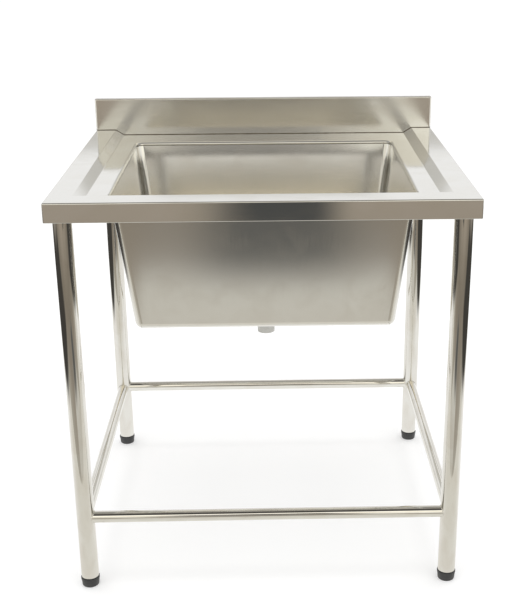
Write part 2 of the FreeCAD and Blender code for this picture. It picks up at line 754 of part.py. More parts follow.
def buildWaste():
    cup = "sizes.wasteCupRadius"
    wall = "sizes.wasteWall"
    plainRing("waste_upper_seal", holeInBowl, flangeRadius + " - sizes.sealInset", recessFloor, sealTop)

    waste = newBody("waste_body")
    turned(waste, [
        (spigotBore, spigotEnd),
        (spigotRadius, spigotEnd),
        (spigotRadius, cupFloor + " - " + wall),
        (cup + " - sizes.cupRounding", cupFloor + " - " + wall),
        (cup, cupFloor + " - " + wall + " + sizes.cupRounding"),
        (cup, sealTop),
        (flangeRadius, sealTop),
        (flangeRadius, sealTop + " + sizes.flangeEdge"),
        (flangeRadius + " - sizes.flangeBevel", flangeTop),
        (cupInside + " + sizes.flangeBevel", flangeTop),
        (cupInside, flangeTop + " - sizes.flangeBevel"),
        (cupInside, cupFloor + " + sizes.cupRounding"),
        (cupInside + " - sizes.cupRounding", cupFloor),
        (spigotBore, cupFloor),
    ])
    place(waste, y=bowlMiddle)

    # Under the bowl: a soft seal, a slippery ring that lets the nut turn on it, and the nut with its lugs.
    sealRoof = "(" + recessFloor + " - sizes.sheetGauge)"
    sealFoot = "(" + sealRoof + " - sizes.lowerSealThickness)"
    slipFoot = "(" + sealFoot + " - sizes.slipRingThickness)"
    nutFoot = "(" + slipFoot + " - sizes.backnutHeight)"
    thread = "(sizes.wasteCupRadius + sizes.threadGap)"
    nutRadius = "(sizes.wasteCupRadius + sizes.backnutWidth)"
    lugTip = "(" + nutRadius + " + sizes.lugLength)"
    plainRing("waste_lower_seal", thread, lugTip, sealFoot, sealRoof)
    plainRing("waste_slip_ring", thread, lugTip + " - sizes.sealInset", slipFoot, sealFoot)
    backnut = plainRing("waste_backnut", thread, nutRadius, nutFoot, slipFoot)
    lug = rectangle(nutRadius + " - sizes.backnutWidth / 2", lugTip,
                    "-sizes.lugWidth / 2", "sizes.lugWidth / 2")
    lugPad = pad(backnut, polygonSketch(backnut, "XY_Plane", lug, nutFoot), "sizes.backnutHeight")
    repeatRound(backnut, lugPad, "lugs", "sizes.lugCount")

    plainRing("tail_washer", spigotBore, spigotRadius, washerFoot, spigotEnd)

    tailNutFoot = washerFoot + " - sizes.tailFlange - sizes.tailNutFloor"
    shoulder = "(sizes.tailRadius + sizes.tailShoulder)"
    tail = newBody("tailpiece")
    turned(tail, [
        ("sizes.tailRadius - sizes.tailWall", washerFoot + " - sizes.tailLength"),
        ("sizes.tailRadius", washerFoot + " - sizes.tailLength"),
        ("sizes.tailRadius", tailNutFoot + " - sizes.tailCone"),
        (shoulder, tailNutFoot),
        (shoulder, washerFoot + " - sizes.tailFlange"),
        (spigotRadius, washerFoot + " - sizes.tailFlange"),
        (spigotRadius, washerFoot),
        ("sizes.tailRadius - sizes.tailWall", washerFoot),
    ])
    place(tail, y=bowlMiddle)

    # Slip nut: an octagon outside, a threaded bore above a floor that grips the tail's flange.
    outside = doc.addObject("Part::Prism", "tail_nut_outside")
    outside.Polygon = 8
    outside.setExpression("Circumradius", spigotRadius + " + sizes.tailNutWall")
    outside.setExpression("Height", "sizes.tailNutHeight")
    waist = cylinder("tail_nut_bore", spigotRadius + " + sizes.threadGap", "sizes.tailNutHeight")
    place(waist, z="sizes.tailNutFloor")
    throat = cylinder("tail_nut_throat", shoulder + " + sizes.threadGap", "sizes.tailNutHeight")
    nut = cutFrom("tail_nut", cutFrom("tail_nut_bored", outside, waist), throat)
    place(nut, "0", bowlMiddle, tailNutFoot)
    keep(nut, "tail_nut")


def buildBasket():
    seat = "(" + cupFloor + " + sizes.runningGap)"
    floor = "(" + seat + " + sizes.stopperHeight)"
    wall = "sizes.basketWall"
    top = "(" + floor + " + sizes.basketDepth)"
    brim = "(" + cupInside + " - sizes.basketGap)"
    mouth = "(" + brim + " - sizes.basketBrim)"
    foot = "(" + mouth + " - sizes.basketLean)"
    stopperRadius = "(" + spigotBore + " + sizes.stopperLap)"

    basket = newBody("strainer_basket")
    turned(basket, [
        ("sizes.postRadius", floor),
        (foot, floor),
        (mouth, top + " - " + wall),
        (brim, top + " - " + wall),
        (brim, top),
        (mouth + " - " + wall, top),
        (foot + " - " + wall, floor + " + " + wall),
        ("sizes.postRadius", floor + " + " + wall),
    ])
    # Water leaves through slots in the wall and through small holes outside the stopper.
    slotFoot = floor + " + sizes.slotRise"
    slot = rectangle("-sizes.slotWidth / 2", "sizes.slotWidth / 2",
                     slotFoot, slotFoot + " + sizes.slotHeight")
    slots = pocket(basket, polygonSketch(basket, "YZ_Plane", slot, foot + " - 4 * " + wall),
                   brim + " - " + foot + " + 4 * " + wall, up=True)
    repeatRound(basket, slots, "wallSlots", "sizes.slotCount")
    ring = stopperRadius + " + sizes.holeRadius + sizes.runningGap"
    spot = circleSketch(basket, "XY_Plane", [(ring, "0", "sizes.holeRadius")], floor + " - " + wall)
    holes = pocket(basket, spot, "3 * " + wall, up=True)
    repeatRound(basket, holes, "drainHoles", "sizes.holeCount")

    stopper = newBody("basket_stopper")
    turned(stopper, [
        ("sizes.postRadius", seat),
        (stopperRadius + " - sizes.stopperBevel", seat),
        (stopperRadius, seat + " + sizes.stopperBevel"),
        (stopperRadius, floor),
        ("sizes.postRadius", floor),
    ])

    knob = newBody("basket_knob")
    knobTop = "(" + top + " - sizes.knobDrop)"
    knobFoot = "(" + knobTop + " - sizes.knobHeight)"
    turned(knob, [
        ("0", seat),
        ("sizes.postRadius", seat),
        ("sizes.postRadius", knobFoot),
        ("sizes.knobRadius - sizes.knobBevel", knobFoot),
        ("sizes.knobRadius", knobFoot + " + sizes.knobBevel"),
        ("sizes.knobRadius", knobTop + " - sizes.knobBevel"),
        ("sizes.knobRadius - sizes.knobBevel", knobTop),
        ("0", knobTop),
    ])
    for piece in (basket, stopper, knob):
        place(piece, y=bowlMiddle)


# ---------------------------------------------------------------- the whole sink

buildDeck()
buildSplashback()
buildBowl()
buildSideChannel("side_channel_left", -1)
buildSideChannel("side_channel_right", 1)
borderMiddle = ("-sizes.deckDepth / 2 + sizes.sheetGauge + sizes.bendRadius"
                " + sizes.hatBrim + sizes.hatWidth / 2")
buildHatChannel("front_channel", borderMiddle, "(sizes.rimHeight - sizes.sheetGauge)")
buildHatChannel("rear_channel", splashFace + " - sizes.bowlSetback / 2", deckUnderside)
buildLegs()
buildRails()
buildSockets()
buildFeet()
buildWaste()
buildBasket()
doc.recompute()

for item in doc.Objects:
    if "Invalid" in item.State or "Error" in item.State:
        raise RuntimeError("%s did not build: %s" % (item.Label, item.State))
for part in subParts:
    if part.Shape.isNull() or not part.Shape.isValid():
        raise RuntimeError("%s has no valid shape" % part.Label)

os.makedirs("parts", exist_ok=True)
for part in subParts:
    part.Shape.exportStep(os.path.join("parts", part.Label + ".step"))
    box = part.Shape.BoundBox
    print("%-26s solids %d  volume %9.0f  x %.1f..%.1f  y %.1f..%.1f  z %.1f..%.1f" % (
        part.Label, len(part.Shape.Solids), part.Shape.Volume,
        box.XMin, box.XMax, box.YMin, box.YMax, box.ZMin, box.ZMax))
print(len(subParts), "sub-parts")
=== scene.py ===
import json
import math

import bmesh
import bpy
import numpy as np
from mathutils import Matrix, Vector

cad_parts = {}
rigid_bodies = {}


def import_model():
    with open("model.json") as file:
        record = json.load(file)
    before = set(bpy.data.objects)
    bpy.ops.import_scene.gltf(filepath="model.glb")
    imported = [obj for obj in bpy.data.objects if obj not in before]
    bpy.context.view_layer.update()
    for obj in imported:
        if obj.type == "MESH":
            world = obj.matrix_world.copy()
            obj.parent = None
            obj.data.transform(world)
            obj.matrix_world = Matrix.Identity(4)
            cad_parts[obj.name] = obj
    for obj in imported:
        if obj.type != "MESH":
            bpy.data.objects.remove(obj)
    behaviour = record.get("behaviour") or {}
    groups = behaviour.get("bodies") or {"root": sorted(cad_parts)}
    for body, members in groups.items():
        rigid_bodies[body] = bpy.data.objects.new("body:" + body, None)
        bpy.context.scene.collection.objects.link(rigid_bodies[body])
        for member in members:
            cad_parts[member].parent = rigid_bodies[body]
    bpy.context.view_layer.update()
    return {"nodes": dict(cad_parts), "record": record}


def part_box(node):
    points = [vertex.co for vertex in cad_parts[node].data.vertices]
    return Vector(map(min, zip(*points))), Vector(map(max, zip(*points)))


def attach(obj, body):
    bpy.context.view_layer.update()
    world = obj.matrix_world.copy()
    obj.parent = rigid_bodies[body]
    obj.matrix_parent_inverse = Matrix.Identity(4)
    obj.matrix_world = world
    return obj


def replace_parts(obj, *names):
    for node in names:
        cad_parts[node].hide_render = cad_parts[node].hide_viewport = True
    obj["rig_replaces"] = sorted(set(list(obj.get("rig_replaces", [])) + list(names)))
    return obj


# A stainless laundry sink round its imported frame: satin pressings, polished tubes, nylon feet, plastic tail.
# Sizes are in millimetres and turn to metres when a mesh is made. X runs across, -Y is the front, Z is up.

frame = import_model()

mm = 0.001
fullTurn = 2 * math.pi
feet = ["front_left", "front_right", "rear_left", "rear_right"]


def nodeBox(name):
    # lowest and highest corner of a CAD node, in millimetres
    low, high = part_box(name)
    return np.array(low) / mm, np.array(high) / mm


def middleOf(name):
    low, high = nodeBox(name)
    return (low + high) / 2


def turnedBox(name):
    # foot, top and radius of an upright round node
    low, high = nodeBox(name)
    return low[2], high[2], (high[0] - low[0]) / 2


# Shapes: grids of points, worked out as whole arrays

loopCounts = {"side": 14, "corner": 9, "front": 18}
openColumns = 2 * (loopCounts["side"] + loopCounts["corner"]) + loopCounts["front"]


def roundedLoop(halfX, front, rear, frontRadius, rearRadius, along=None):
    # A rectangle with rounded corners seen from above, one row for each value given. The columns run down the
    # left side, round the front-left corner, along the front, back up the right side and along the rear.
    # A side is a straight mix of its two ends, and a corner is centre + radius * (cos a, sin a).
    # along may give the places of the columns along the front and rear, as shares of their length.
    halfX, front, rear, near, far = [
        np.atleast_1d(np.asarray(v, float))[:, None]
        for v in np.broadcast_arrays(halfX, front, rear, frontRadius, rearRadius)
    ]
    side = np.linspace(0, 1, loopCounts["side"] + 1)[None, :]
    turn = np.linspace(0, math.pi / 2, loopCounts["corner"])[None, :]
    if along is None:
        along = np.linspace(0, 1, loopCounts["front"] + 2)[1:-1]
    along = np.asarray(along)[None, :]
    forward = (rear - far) + side * ((front + near) - (rear - far))
    same = np.ones_like(forward)
    across = halfX - near
    rearAcross = halfX - far
    x = [-halfX * same[:, :-1], -across - near * np.cos(turn),
         -across + 2 * across * along, across + near * np.sin(turn),
         halfX * same[:, 1:], rearAcross + far * np.cos(turn),
         rearAcross - 2 * rearAcross * along, -rearAcross - far * np.sin(turn)]
    y = [forward[:, :-1], front + near - near * np.sin(turn),
         front * np.ones_like(along), front + near - near * np.cos(turn),
         forward[:, ::-1][:, 1:], rear - far + far * np.sin(turn),
         rear * np.ones_like(along), rear - far + far * np.cos(turn)]
    return np.concatenate(x, 1), np.concatenate(y, 1)


def roundCorners(corners, radii, steps=5):
    # A polyline with an arc at each inner corner. The arc's ends lie radius * tan(half the turn) along both
    # legs, and its points swing from one end to the other about the arc's centre.
    corners = np.asarray(corners, float)
    radii = np.asarray(radii, float)[:, None]
    back = corners[:-2] - corners[1:-1]
    ahead = corners[2:] - corners[1:-1]
    back = back / np.linalg.norm(back, axis=1, keepdims=True)
    ahead = ahead / np.linalg.norm(ahead, axis=1, keepdims=True)
    turn = math.pi - np.arccos(np.clip((back * ahead).sum(1, keepdims=True), -1, 1))
    reach = radii * np.tan(turn / 2)
    middle = back + ahead
    middle = middle / np.linalg.norm(middle, axis=1, keepdims=True)
    centre = corners[1:-1] + middle * radii / np.cos(turn / 2)
    first = corners[1:-1] + back * reach - centre
    last = corners[1:-1] + ahead * reach - centre
    t = np.linspace(0, 1, steps + 1)[None, :, None]
    swing = turn[:, :, None]
    arcs = (first[:, None] * np.sin((1 - t) * swing) + last[:, None] * np.sin(t * swing)) / np.sin(swing)
    arcs = centre[:, None] + arcs
    return np.concatenate([corners[:1], arcs.reshape(-1, 2), corners[-1:]])


def shortSteps(profile, longest):
    # the same polyline with points added on its long legs, so that no step is longer than that
    run = arcLength(profile)
    places = np.union1d(run, np.linspace(0, run[-1], int(run[-1] / longest) + 2))
    places = places[np.concatenate([[True], np.diff(places) > 1e-6])]
    return np.stack([np.interp(places, run, profile[:, i]) for i in (0, 1)], -1)


def arcLength(points):
    # distance run along a polyline, from 0 at its first point
    step = np.linalg.norm(np.diff(points, axis=0), axis=1)
    return np.concatenate([[0], np.cumsum(step)])


def gridOf(*parts):
    # a grid of points or of (u, v), from an array for each axis
    return np.stack(np.broadcast_arrays(*parts), -1)


def turnedPatch(profile, centre, segments=96, radiusAt=None):
    # Surface of revolution: each (radius, height) of the profile goes round as centre + radius *
    # (cos a, sin a). radiusAt may change the radius with the angle. u runs round, v along the profile.
    angle = np.linspace(0, fullTurn, segments + 1)
    radius = profile[:, :1] * np.ones((1, segments + 1))
    if radiusAt is not None:
        radius = radiusAt(profile, angle)
    points = gridOf(centre[0] + radius * np.cos(angle), centre[1] + radius * np.sin(angle), profile[:, 1:2])
    return points, gridOf(angle * profile[:, 0].max(), arcLength(profile)[:, None])


def gridCorners(grid):
    # the four corners of every cell of a grid, in turn round the cell
    cells = np.stack([grid[:-1, :-1], grid[:-1, 1:], grid[1:, 1:], grid[1:, :-1]], 2)
    return cells.reshape(-1, grid.shape[-1])


def faceOut(work, outward):
    # All faces look the same way: out from the middle of the piece, or in towards it for a vessel's inside
    bmesh.ops.recalc_face_normals(work, faces=work.faces)
    places = np.array([face.calc_center_median() for face in work.faces])
    normals = np.array([face.normal for face in work.faces])
    areas = np.array([face.calc_area() for face in work.faces])
    middle = (places.min(0) + places.max(0)) / 2
    flow = (areas * ((places - middle) * normals).sum(1)).sum()
    if (flow > 0) != outward:
        bmesh.ops.reverse_faces(work, faces=work.faces)


def newObject(name, data):
    item = bpy.data.objects.new(name, data)
    bpy.context.scene.collection.objects.link(item)
    return item


meshing = {"join": 0.002, "thinnest": 0.001, "flatWeight": 100}


def addPiece(name, patches, slot, stands=(), body="frame", finish=None, wall=0, sharp=35, outward=True):
    # Joins grids of points into one mesh: equal points are merged, so that patches and seams close.
    # u and v are stored in metres. A wall is laid behind the faces, and flat faces keep flat normals.
    # finish names a material other than the slot's own. sharp is in degrees.
    points = np.concatenate([gridCorners(grid) for grid, uv in patches]) * mm
    runs = np.concatenate([gridCorners(uv) for grid, uv in patches]) * mm
    mesh = bpy.data.meshes.new(name)
    mesh.from_pydata(points.tolist(), [], np.arange(len(points)).reshape(-1, 4).tolist())
    mesh.uv_layers.new(name="Surface").data.foreach_set("uv", runs.astype(np.float32).ravel())
    work = bmesh.new()
    work.from_mesh(mesh)
    bmesh.ops.remove_doubles(work, verts=work.verts, dist=meshing["join"] * mm)
    bmesh.ops.dissolve_degenerate(work, edges=work.edges, dist=meshing["thinnest"] * mm)
    faceOut(work, outward)
    work.to_mesh(mesh)
    work.free()
    mesh.shade_smooth()
    mesh.set_sharp_from_angle(angle=math.radians(sharp))
    mesh.materials.append(materials[finish or slot])
    piece = newObject(name, mesh)
    if wall:
        thick = piece.modifiers.new("Wall", "SOLIDIFY")
        thick.thickness = wall * mm
        thick.offset = -1
    level = piece.modifiers.new("Flat", "WEIGHTED_NORMAL")
    level.keep_sharp = True
    level.weight = meshing["flatWeight"]
    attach(piece, body)
    if stands:
        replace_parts(piece, *stands)


def addTurned(name, outline, bends, steps, centre, slot, node, body="frame"):
    addPiece(name, [turnedPatch(roundCorners(outline, bends, steps), centre)], slot, [node], body)


# Materials


def colour(hexText):
    # an sRGB hex colour as linear light: c / 12.92 in the dark, ((c + 0.055) / 1.055) ^ 2.4 above
    part = np.array([int(hexText[i:i + 2], 16) for i in (1, 3, 5)]) / 255
    linear = np.where(part <= 0.04045, part / 12.92, ((part + 0.055) / 1.055) ** 2.4)
    return (*linear.tolist(), 1.0)


def addNode(tree, kind, settings=None, links=None):
    # one node, with its settings by property or input name and its links by input name
    node = tree.nodes.new("ShaderNode" + kind)
    for key, value in (settings or {}).items():
        if isinstance(key, int) or key in node.inputs:
            node.inputs[key].default_value = value
        else:
            setattr(node, key, value)
    for key, source in (links or {}).items():
        tree.links.new(source, node.inputs[key])
    return node


def emptyMaterial(name):
    material = bpy.data.materials.new(name)
    material.use_nodes = True
    material.node_tree.nodes.clear()
    return material, material.node_tree


def newMaterial(name, settings):
    material, tree = emptyMaterial(name)
    shader = addNode(tree, "BsdfPrincipled", settings)
    addNode(tree, "OutputMaterial", links={"Surface": shader.outputs["BSDF"]})
    return material, tree, shader


def spread(tree, value, low, high, start=0.3, end=0.7, shape="LINEAR"):
    # low at start, high at end. A noise value stays near 0.5, hence the two defaults
    settings = {"From Min": start, "From Max": end, "To Min": low, "To Max": high,
                "interpolation_type": shape}
    return addNode(tree, "MapRange", settings, {"Value": value}).outputs["Result"]


def combine(tree, first, second, operation="MULTIPLY"):
    return addNode(tree, "Math", {"operation": operation}, {0: first, 1: second}).outputs["Value"]


def scaledNoise(tree, coordinates, sizes, detail=2.0, distortion=0.0):
    # noise with grains of that size in millimetres, or of one size for each axis
    scale = [1 / (size * mm) for size in np.broadcast_to(sizes, 3)]
    place = addNode(tree, "Mapping", {"Scale": scale}, {"Vector": coordinates})
    settings = {"Scale": 1.0, "Detail": detail, "Distortion": distortion}
    return addNode(tree, "TexNoise", settings, {"Vector": place.outputs["Vector"]}).outputs["Fac"]


def tintBetween(tree, shader, look, share):
    mixed = addNode(tree, "MixRGB", {"Color1": colour(look["tint"]), "Color2": colour(look["dull"])},
                    {"Fac": share})
    tree.links.new(mixed.outputs["Color"], shader.inputs["Base Color"])


def bump(tree, height, depth, **links):
    # a depth in millimetres, on top of the normal that links may give
    return addNode(tree, "Bump", {"Distance": depth * mm}, {"Height": height, **links}).outputs["Normal"]


# Roughness rises and falls as shares of a finish's own; a smear shows between its two noise values
steelPattern = {"fineDetail": 3.0, "smearDistortion": 0.6, "waveDetail": 1.0, "grainRough": (0.85, 1.15),
                "smearLeast": 0.9, "smearRough": (0.45, 0.75), "smearTint": (0.4, 0.75)}


def makeSteel(name, look):
    # Stainless steel is a plain metal: its own colour is the mirror's tint. Belt grinding leaves long
    # scratches one way, which spread a reflection across them; handling leaves faint duller smears.
    p = steelPattern
    base = look["roughness"]
    settings = {"Base Color": colour(look["tint"]), "Metallic": 1.0, "Roughness": base}
    material, tree, shader = newMaterial(name, settings)
    place = addNode(tree, "TexCoord").outputs[look.get("place", "Object")]
    grain = scaledNoise(tree, place, look["grain"], p["fineDetail"])
    smear = scaledNoise(tree, place, look["smear"], p["fineDetail"], p["smearDistortion"])
    wave = scaledNoise(tree, place, look["wave"], p["waveDetail"])
    grainRough = spread(tree, grain, *(base * share for share in p["grainRough"]))
    smearRough = spread(tree, smear, p["smearLeast"], look["smearMost"], *p["smearRough"])
    tree.links.new(combine(tree, grainRough, smearRough), shader.inputs["Roughness"])
    tintBetween(tree, shader, look, spread(tree, smear, 0.0, 1.0, *p["smearTint"]))
    scratches = bump(tree, grain, look["grainDepth"])
    waves = bump(tree, wave, look["waveDepth"], Normal=scratches)
    tree.links.new(waves, shader.inputs["Normal"])
    return material


plasticPattern = {"rough": (0.85, 1.2)}


def makePlastic(name, look):
    # Injection moulded plastic: an even colour, a soft sheen and the fine spark-eroded texture of its mould
    settings = {"Base Color": colour(look["tint"]), "Roughness": look["roughness"], "IOR": look["ior"]}
    material, tree, shader = newMaterial(name, settings)
    place = addNode(tree, "TexCoord").outputs["Object"]
    texture = scaledNoise(tree, place, look["grain"])
    cloud = scaledNoise(tree, place, look["cloud"])
    tintBetween(tree, shader, look, spread(tree, cloud, 0.0, 1.0))
    rough = spread(tree, cloud, *(look["roughness"] * share for share in plasticPattern["rough"]))
    tree.links.new(rough, shader.inputs["Roughness"])
    tree.links.new(bump(tree, texture, look["grainDepth"]), shader.inputs["Normal"])
    return material


steelLooks = {
    # Type 304 sheet with a fine satin finish. Real scratches lie about 0.1 mm apart; here it is 0.8 mm.
    "satinStainlessSheet": {
        "slot": "sheet_steel", "tint": "#e3e2de", "dull": "#e0ded8", "roughness": 0.08, "place": "UV",
        "grain": (90, 0.8, 1), "grainDepth": 0.003, "smear": (90, 60, 1), "smearMost": 1.3,
        "wave": (260, 180, 1), "waveDepth": 0.05,
    },
    # The splashback is ground once more, along its length, and so mirrors more softly
    "groundSplashback": {
        "tint": "#e3e1dc", "dull": "#dfdcd5", "roughness": 0.17, "place": "UV",
        "grain": (80, 0.8, 1), "grainDepth": 0.004, "smear": (120, 60, 1), "smearMost": 1.25,
        "wave": (180, 120, 1), "waveDepth": 0.08,
    },
    # The bowl is deep drawn and then polished by hand, which leaves it less even than the flat sheet
    "handPolishedBowl": {
        "tint": "#e7e5df", "dull": "#e4e1da", "roughness": 0.13, "place": "UV",
        "grain": (1.0, 60, 1), "grainDepth": 0.004, "smear": (70, 60, 1), "smearMost": 1.15,
        "wave": (300, 260, 1), "waveDepth": 0.03,
    },
    # Weld bead along the splashback's foot; its dark brown is painted shade of the crevice between splashback
    # and worktop
    "brownedWeldSeam": {
        "tint": "#6f675b", "dull": "#544c42", "roughness": 0.38,
        "grain": 1.2, "grainDepth": 0.02, "smear": 15, "smearMost": 1.3,
        "wave": 30, "waveDepth": 0.01,
    },
    # The same sheet as it leaves the mill, unpolished, on the folded channels that nobody sees
    "millStainlessChannel": {
        "slot": "channel_steel", "tint": "#cfccc6", "dull": "#c2beb6", "roughness": 0.32,
        "grain": (60, 1.2, 1.2), "grainDepth": 0.006, "smear": 40, "smearMost": 1.4,
        "wave": 120, "waveDepth": 0.05,
    },
    # Welded tube, polished along its length to near a mirror
    "polishedStainlessTube": {
        "slot": "tube_steel", "tint": "#e5e3dd", "dull": "#dedad2", "roughness": 0.05, "place": "UV",
        "grain": (0.9, 70, 1), "grainDepth": 0.003, "smear": (25, 60, 1), "smearMost": 1.5,
        "wave": (60, 160, 1), "waveDepth": 0.012,
    },
    # Bright zinc plate on the screws
    "brightZincScrew": {
        "slot": "screw_steel", "tint": "#cfd0cf", "dull": "#bdbdb8", "roughness": 0.22,
        "grain": 1.5, "grainDepth": 0.01, "smear": 8, "smearMost": 1.5,
        "wave": 20, "waveDepth": 0.01,
    },
    # Pressed stainless of the waste and its basket, tumbled bright
    "brightPressedWaste": {
        "slot": "waste_steel", "tint": "#e2dfd8", "dull": "#d4d0c6", "roughness": 0.12,
        "grain": 2, "grainDepth": 0.004, "smear": 12, "smearMost": 1.6,
        "wave": 30, "waveDepth": 0.02,
    },
}

plasticLooks = {
    # Black nylon of the feet, lightly glossy from its mould, greyed where it is handled
    "blackNylonFoot": {
        "slot": "foot_plastic", "tint": "#2b2b2c", "dull": "#363636", "roughness": 0.42, "ior": 1.53,
        "grain": 0.5, "grainDepth": 0.03, "cloud": 9,
    },
    "blackNylonInsert": {
        "slot": "insert_plastic", "tint": "#2f2f30", "dull": "#3a3a3a", "roughness": 0.5, "ior": 1.53,
        "grain": 0.5, "grainDepth": 0.03, "cloud": 9,
    },
    # Nitrile rubber of the seals: matt, with a bloom
    "nitrileRubberSeal": {
        "slot": "seal_rubber", "tint": "#242322", "dull": "#312f2d", "roughness": 0.75, "ior": 1.52,
        "grain": 0.4, "grainDepth": 0.02, "cloud": 12,
    },
    # Pale grey polypropylene of the tail and the nuts: waxy, with a faint cloud
    "greyPolypropylenePipe": {
        "slot": "waste_plastic", "tint": "#c9c8c3", "dull": "#bdbcb6", "roughness": 0.4, "ior": 1.49,
        "grain": 0.7, "grainDepth": 0.02, "cloud": 20,
    },
    "greyPolypropyleneNut": {
        "slot": "nut_plastic", "tint": "#c4c3be", "dull": "#b5b4ae", "roughness": 0.46, "ior": 1.49,
        "grain": 0.6, "grainDepth": 0.03, "cloud": 16,
    },
}

# by slot, or by name where a finish serves none
materials = {}
for looks, make in ((steelLooks, makeSteel), (plasticLooks, makePlastic)):
    for name, look in looks.items():
        materials[look.get("slot", name)] = make(name, look)
print("materials made:", len(materials))


# Worktop: one sheet with a raised border on three sides, a step down to the inner deck, and folded aprons

worktop = {
    "gauge": 1.2, "bend": 3.0, "hem": 10.0, "hemBend": 1.6,
    "borderSide": 50.0, "borderFront": 58.0, "stepRun": 20.0, "stepDrop": 12.5,
    "openingCorner": 16.0, "rimRadius": 5.5, "lip": 8.0, "rimRing": 8.0, "mitre": 0.6,
    "footRun": 6.0,  # inner deck that belongs to the step's section
    "foldReach": 20.0,  # rows nearer the edge than this are the apron and its hem
    "level": 0.01,  # heights this close count as the same
}


def worktopProfile():
    # The sheet's section at a side, from the hem to the step's foot, as (inset, height)
    low, high = nodeBox("deck")
    w = worktop
    inner = high[2] - w["stepDrop"]
    stepFoot = w["borderSide"] + w["stepRun"]
    corners = [(w["hem"], low[2]), (0, low[2]), (0, high[2]), (w["borderSide"], high[2]), (stepFoot, inner),
               (stepFoot + w["footRun"], inner)]
    return roundCorners(corners, [w["hemBend"], w["bend"], w["bend"], w["bend"]], 6)


def buildWorktop():
    low, high = nodeBox("deck")
    bowlLow, bowlHigh = nodeBox("bowl")
    w = worktop
    halfX, front, rear = high[0], low[1], high[1]
    inner = high[2] - w["stepDrop"]
    profile = worktopProfile()
    inset, height = profile[:, 0], profile[:, 1]
    # The front border is wider than the sides: its inset grows past the middle of the border
    widen = (w["borderFront"] - w["borderSide"]) * (inset > w["borderSide"] / 2)
    top = high[2] - w["level"]
    cornerRadius = np.clip(w["bend"] - inset, w["mitre"], None)
    cornerRadius = np.where(height < low[2] + w["level"], w["mitre"], cornerRadius)
    firstTop = np.argmax(height > top - w["bend"])
    hemRows = np.arange(len(height)) < firstTop
    rearEdge = rear - inset * hemRows
    x, y = roundedLoop(halfX - inset, front + inset + widen, rearEdge, cornerRadius, 0)
    # u and v are the places on the sheet before it was folded, so its grain runs on round the bends
    run = arcLength(profile)
    unfolded = inset - (run - run[np.argmax(height >= top)]) * (height < top)
    folded = np.where(inset < w["foldReach"], unfolded, inset)
    u, v = roundedLoop(halfX - folded, front + folded + widen, rear, 0, 0)
    around = np.s_[:, :openColumns]
    frontPatch = (gridOf(x, y, height[:, None])[around], gridOf(u, v)[around])

    # Rear apron: the same rows, but straight across, and up to the stepped edge of the deck
    stations = inset[firstTop:]
    stationHeights = height[firstTop:]
    deckEdge = halfX - inset[-1]
    along = np.linspace(1, -1, loopCounts["front"] + 2)[1:-1] * deckEdge
    columns = np.concatenate([halfX - stations, along, (stations - halfX)[::-1]])
    edge = np.concatenate([stationHeights, np.full(len(along), inner), stationHeights[::-1]])
    scale = np.append(halfX - inset[:firstTop], halfX)[:, None] / halfX
    rearX = columns * scale
    rearY = np.append(rear - inset[:firstTop], rear)[:, None]
    rearZ = np.concatenate([height[:firstTop, None] + 0 * columns, edge[None, :]])
    rearPatch = (gridOf(rearX, rearY, rearZ), gridOf(rearX, rear + high[2] - rearZ))

    # Inner deck: from the step's foot to the opening, whose edge rolls over a radius and drops to the bowl
    openFront = bowlLow[1] + w["gauge"]
    openX, openRear = bowlHigh[:2] - w["gauge"]
    lipCorners = [(-w["rimRing"], inner), (0, inner), (0, inner - w["lip"])]
    lipProfile = roundCorners(lipCorners, [w["rimRadius"]], 7)
    grow = -lipProfile[:, 0]
    outer = roundedLoop(deckEdge, front + inset[-1] + widen[-1], rear, cornerRadius[-1], 0)
    corner = w["openingCorner"] + grow
    ring = roundedLoop(openX + grow, openFront - grow, openRear + grow, corner, corner)
    ringX, ringY = [np.concatenate(pair) for pair in zip(outer, ring)]
    ringZ = np.append(inner, lipProfile[:, 1])[:, None]
    drop = np.append(0, arcLength(lipProfile))[:, None]
    ringPatch = [np.concatenate([part, part[:, :1]], 1)
                 for part in (gridOf(ringX, ringY, ringZ), gridOf(ringX, ringY + drop))]
    addPiece("worktop", [frontPatch, rearPatch, ringPatch], "sheet_steel", ["deck"], wall=w["gauge"])


# Splashback: one sheet folded back along its top and its two ends, with a lip down the rear

splash = {
    "gauge": 1.2, "bend": 3.0, "endBend": 6.0, "lip": 12.0, "lipBend": 1.6, "foot": 0.9, "footGap": 0.1,
    "rise": [0, 0.9, 2.2, 40],  # the face's rows over the worktop, before the top bend
    "spare": 0.5,  # columns nearer an end bend than this are left out
    "topGrain": 9.0, "endGrain": 400.0,  # where the grain of the top and of its ends starts
}


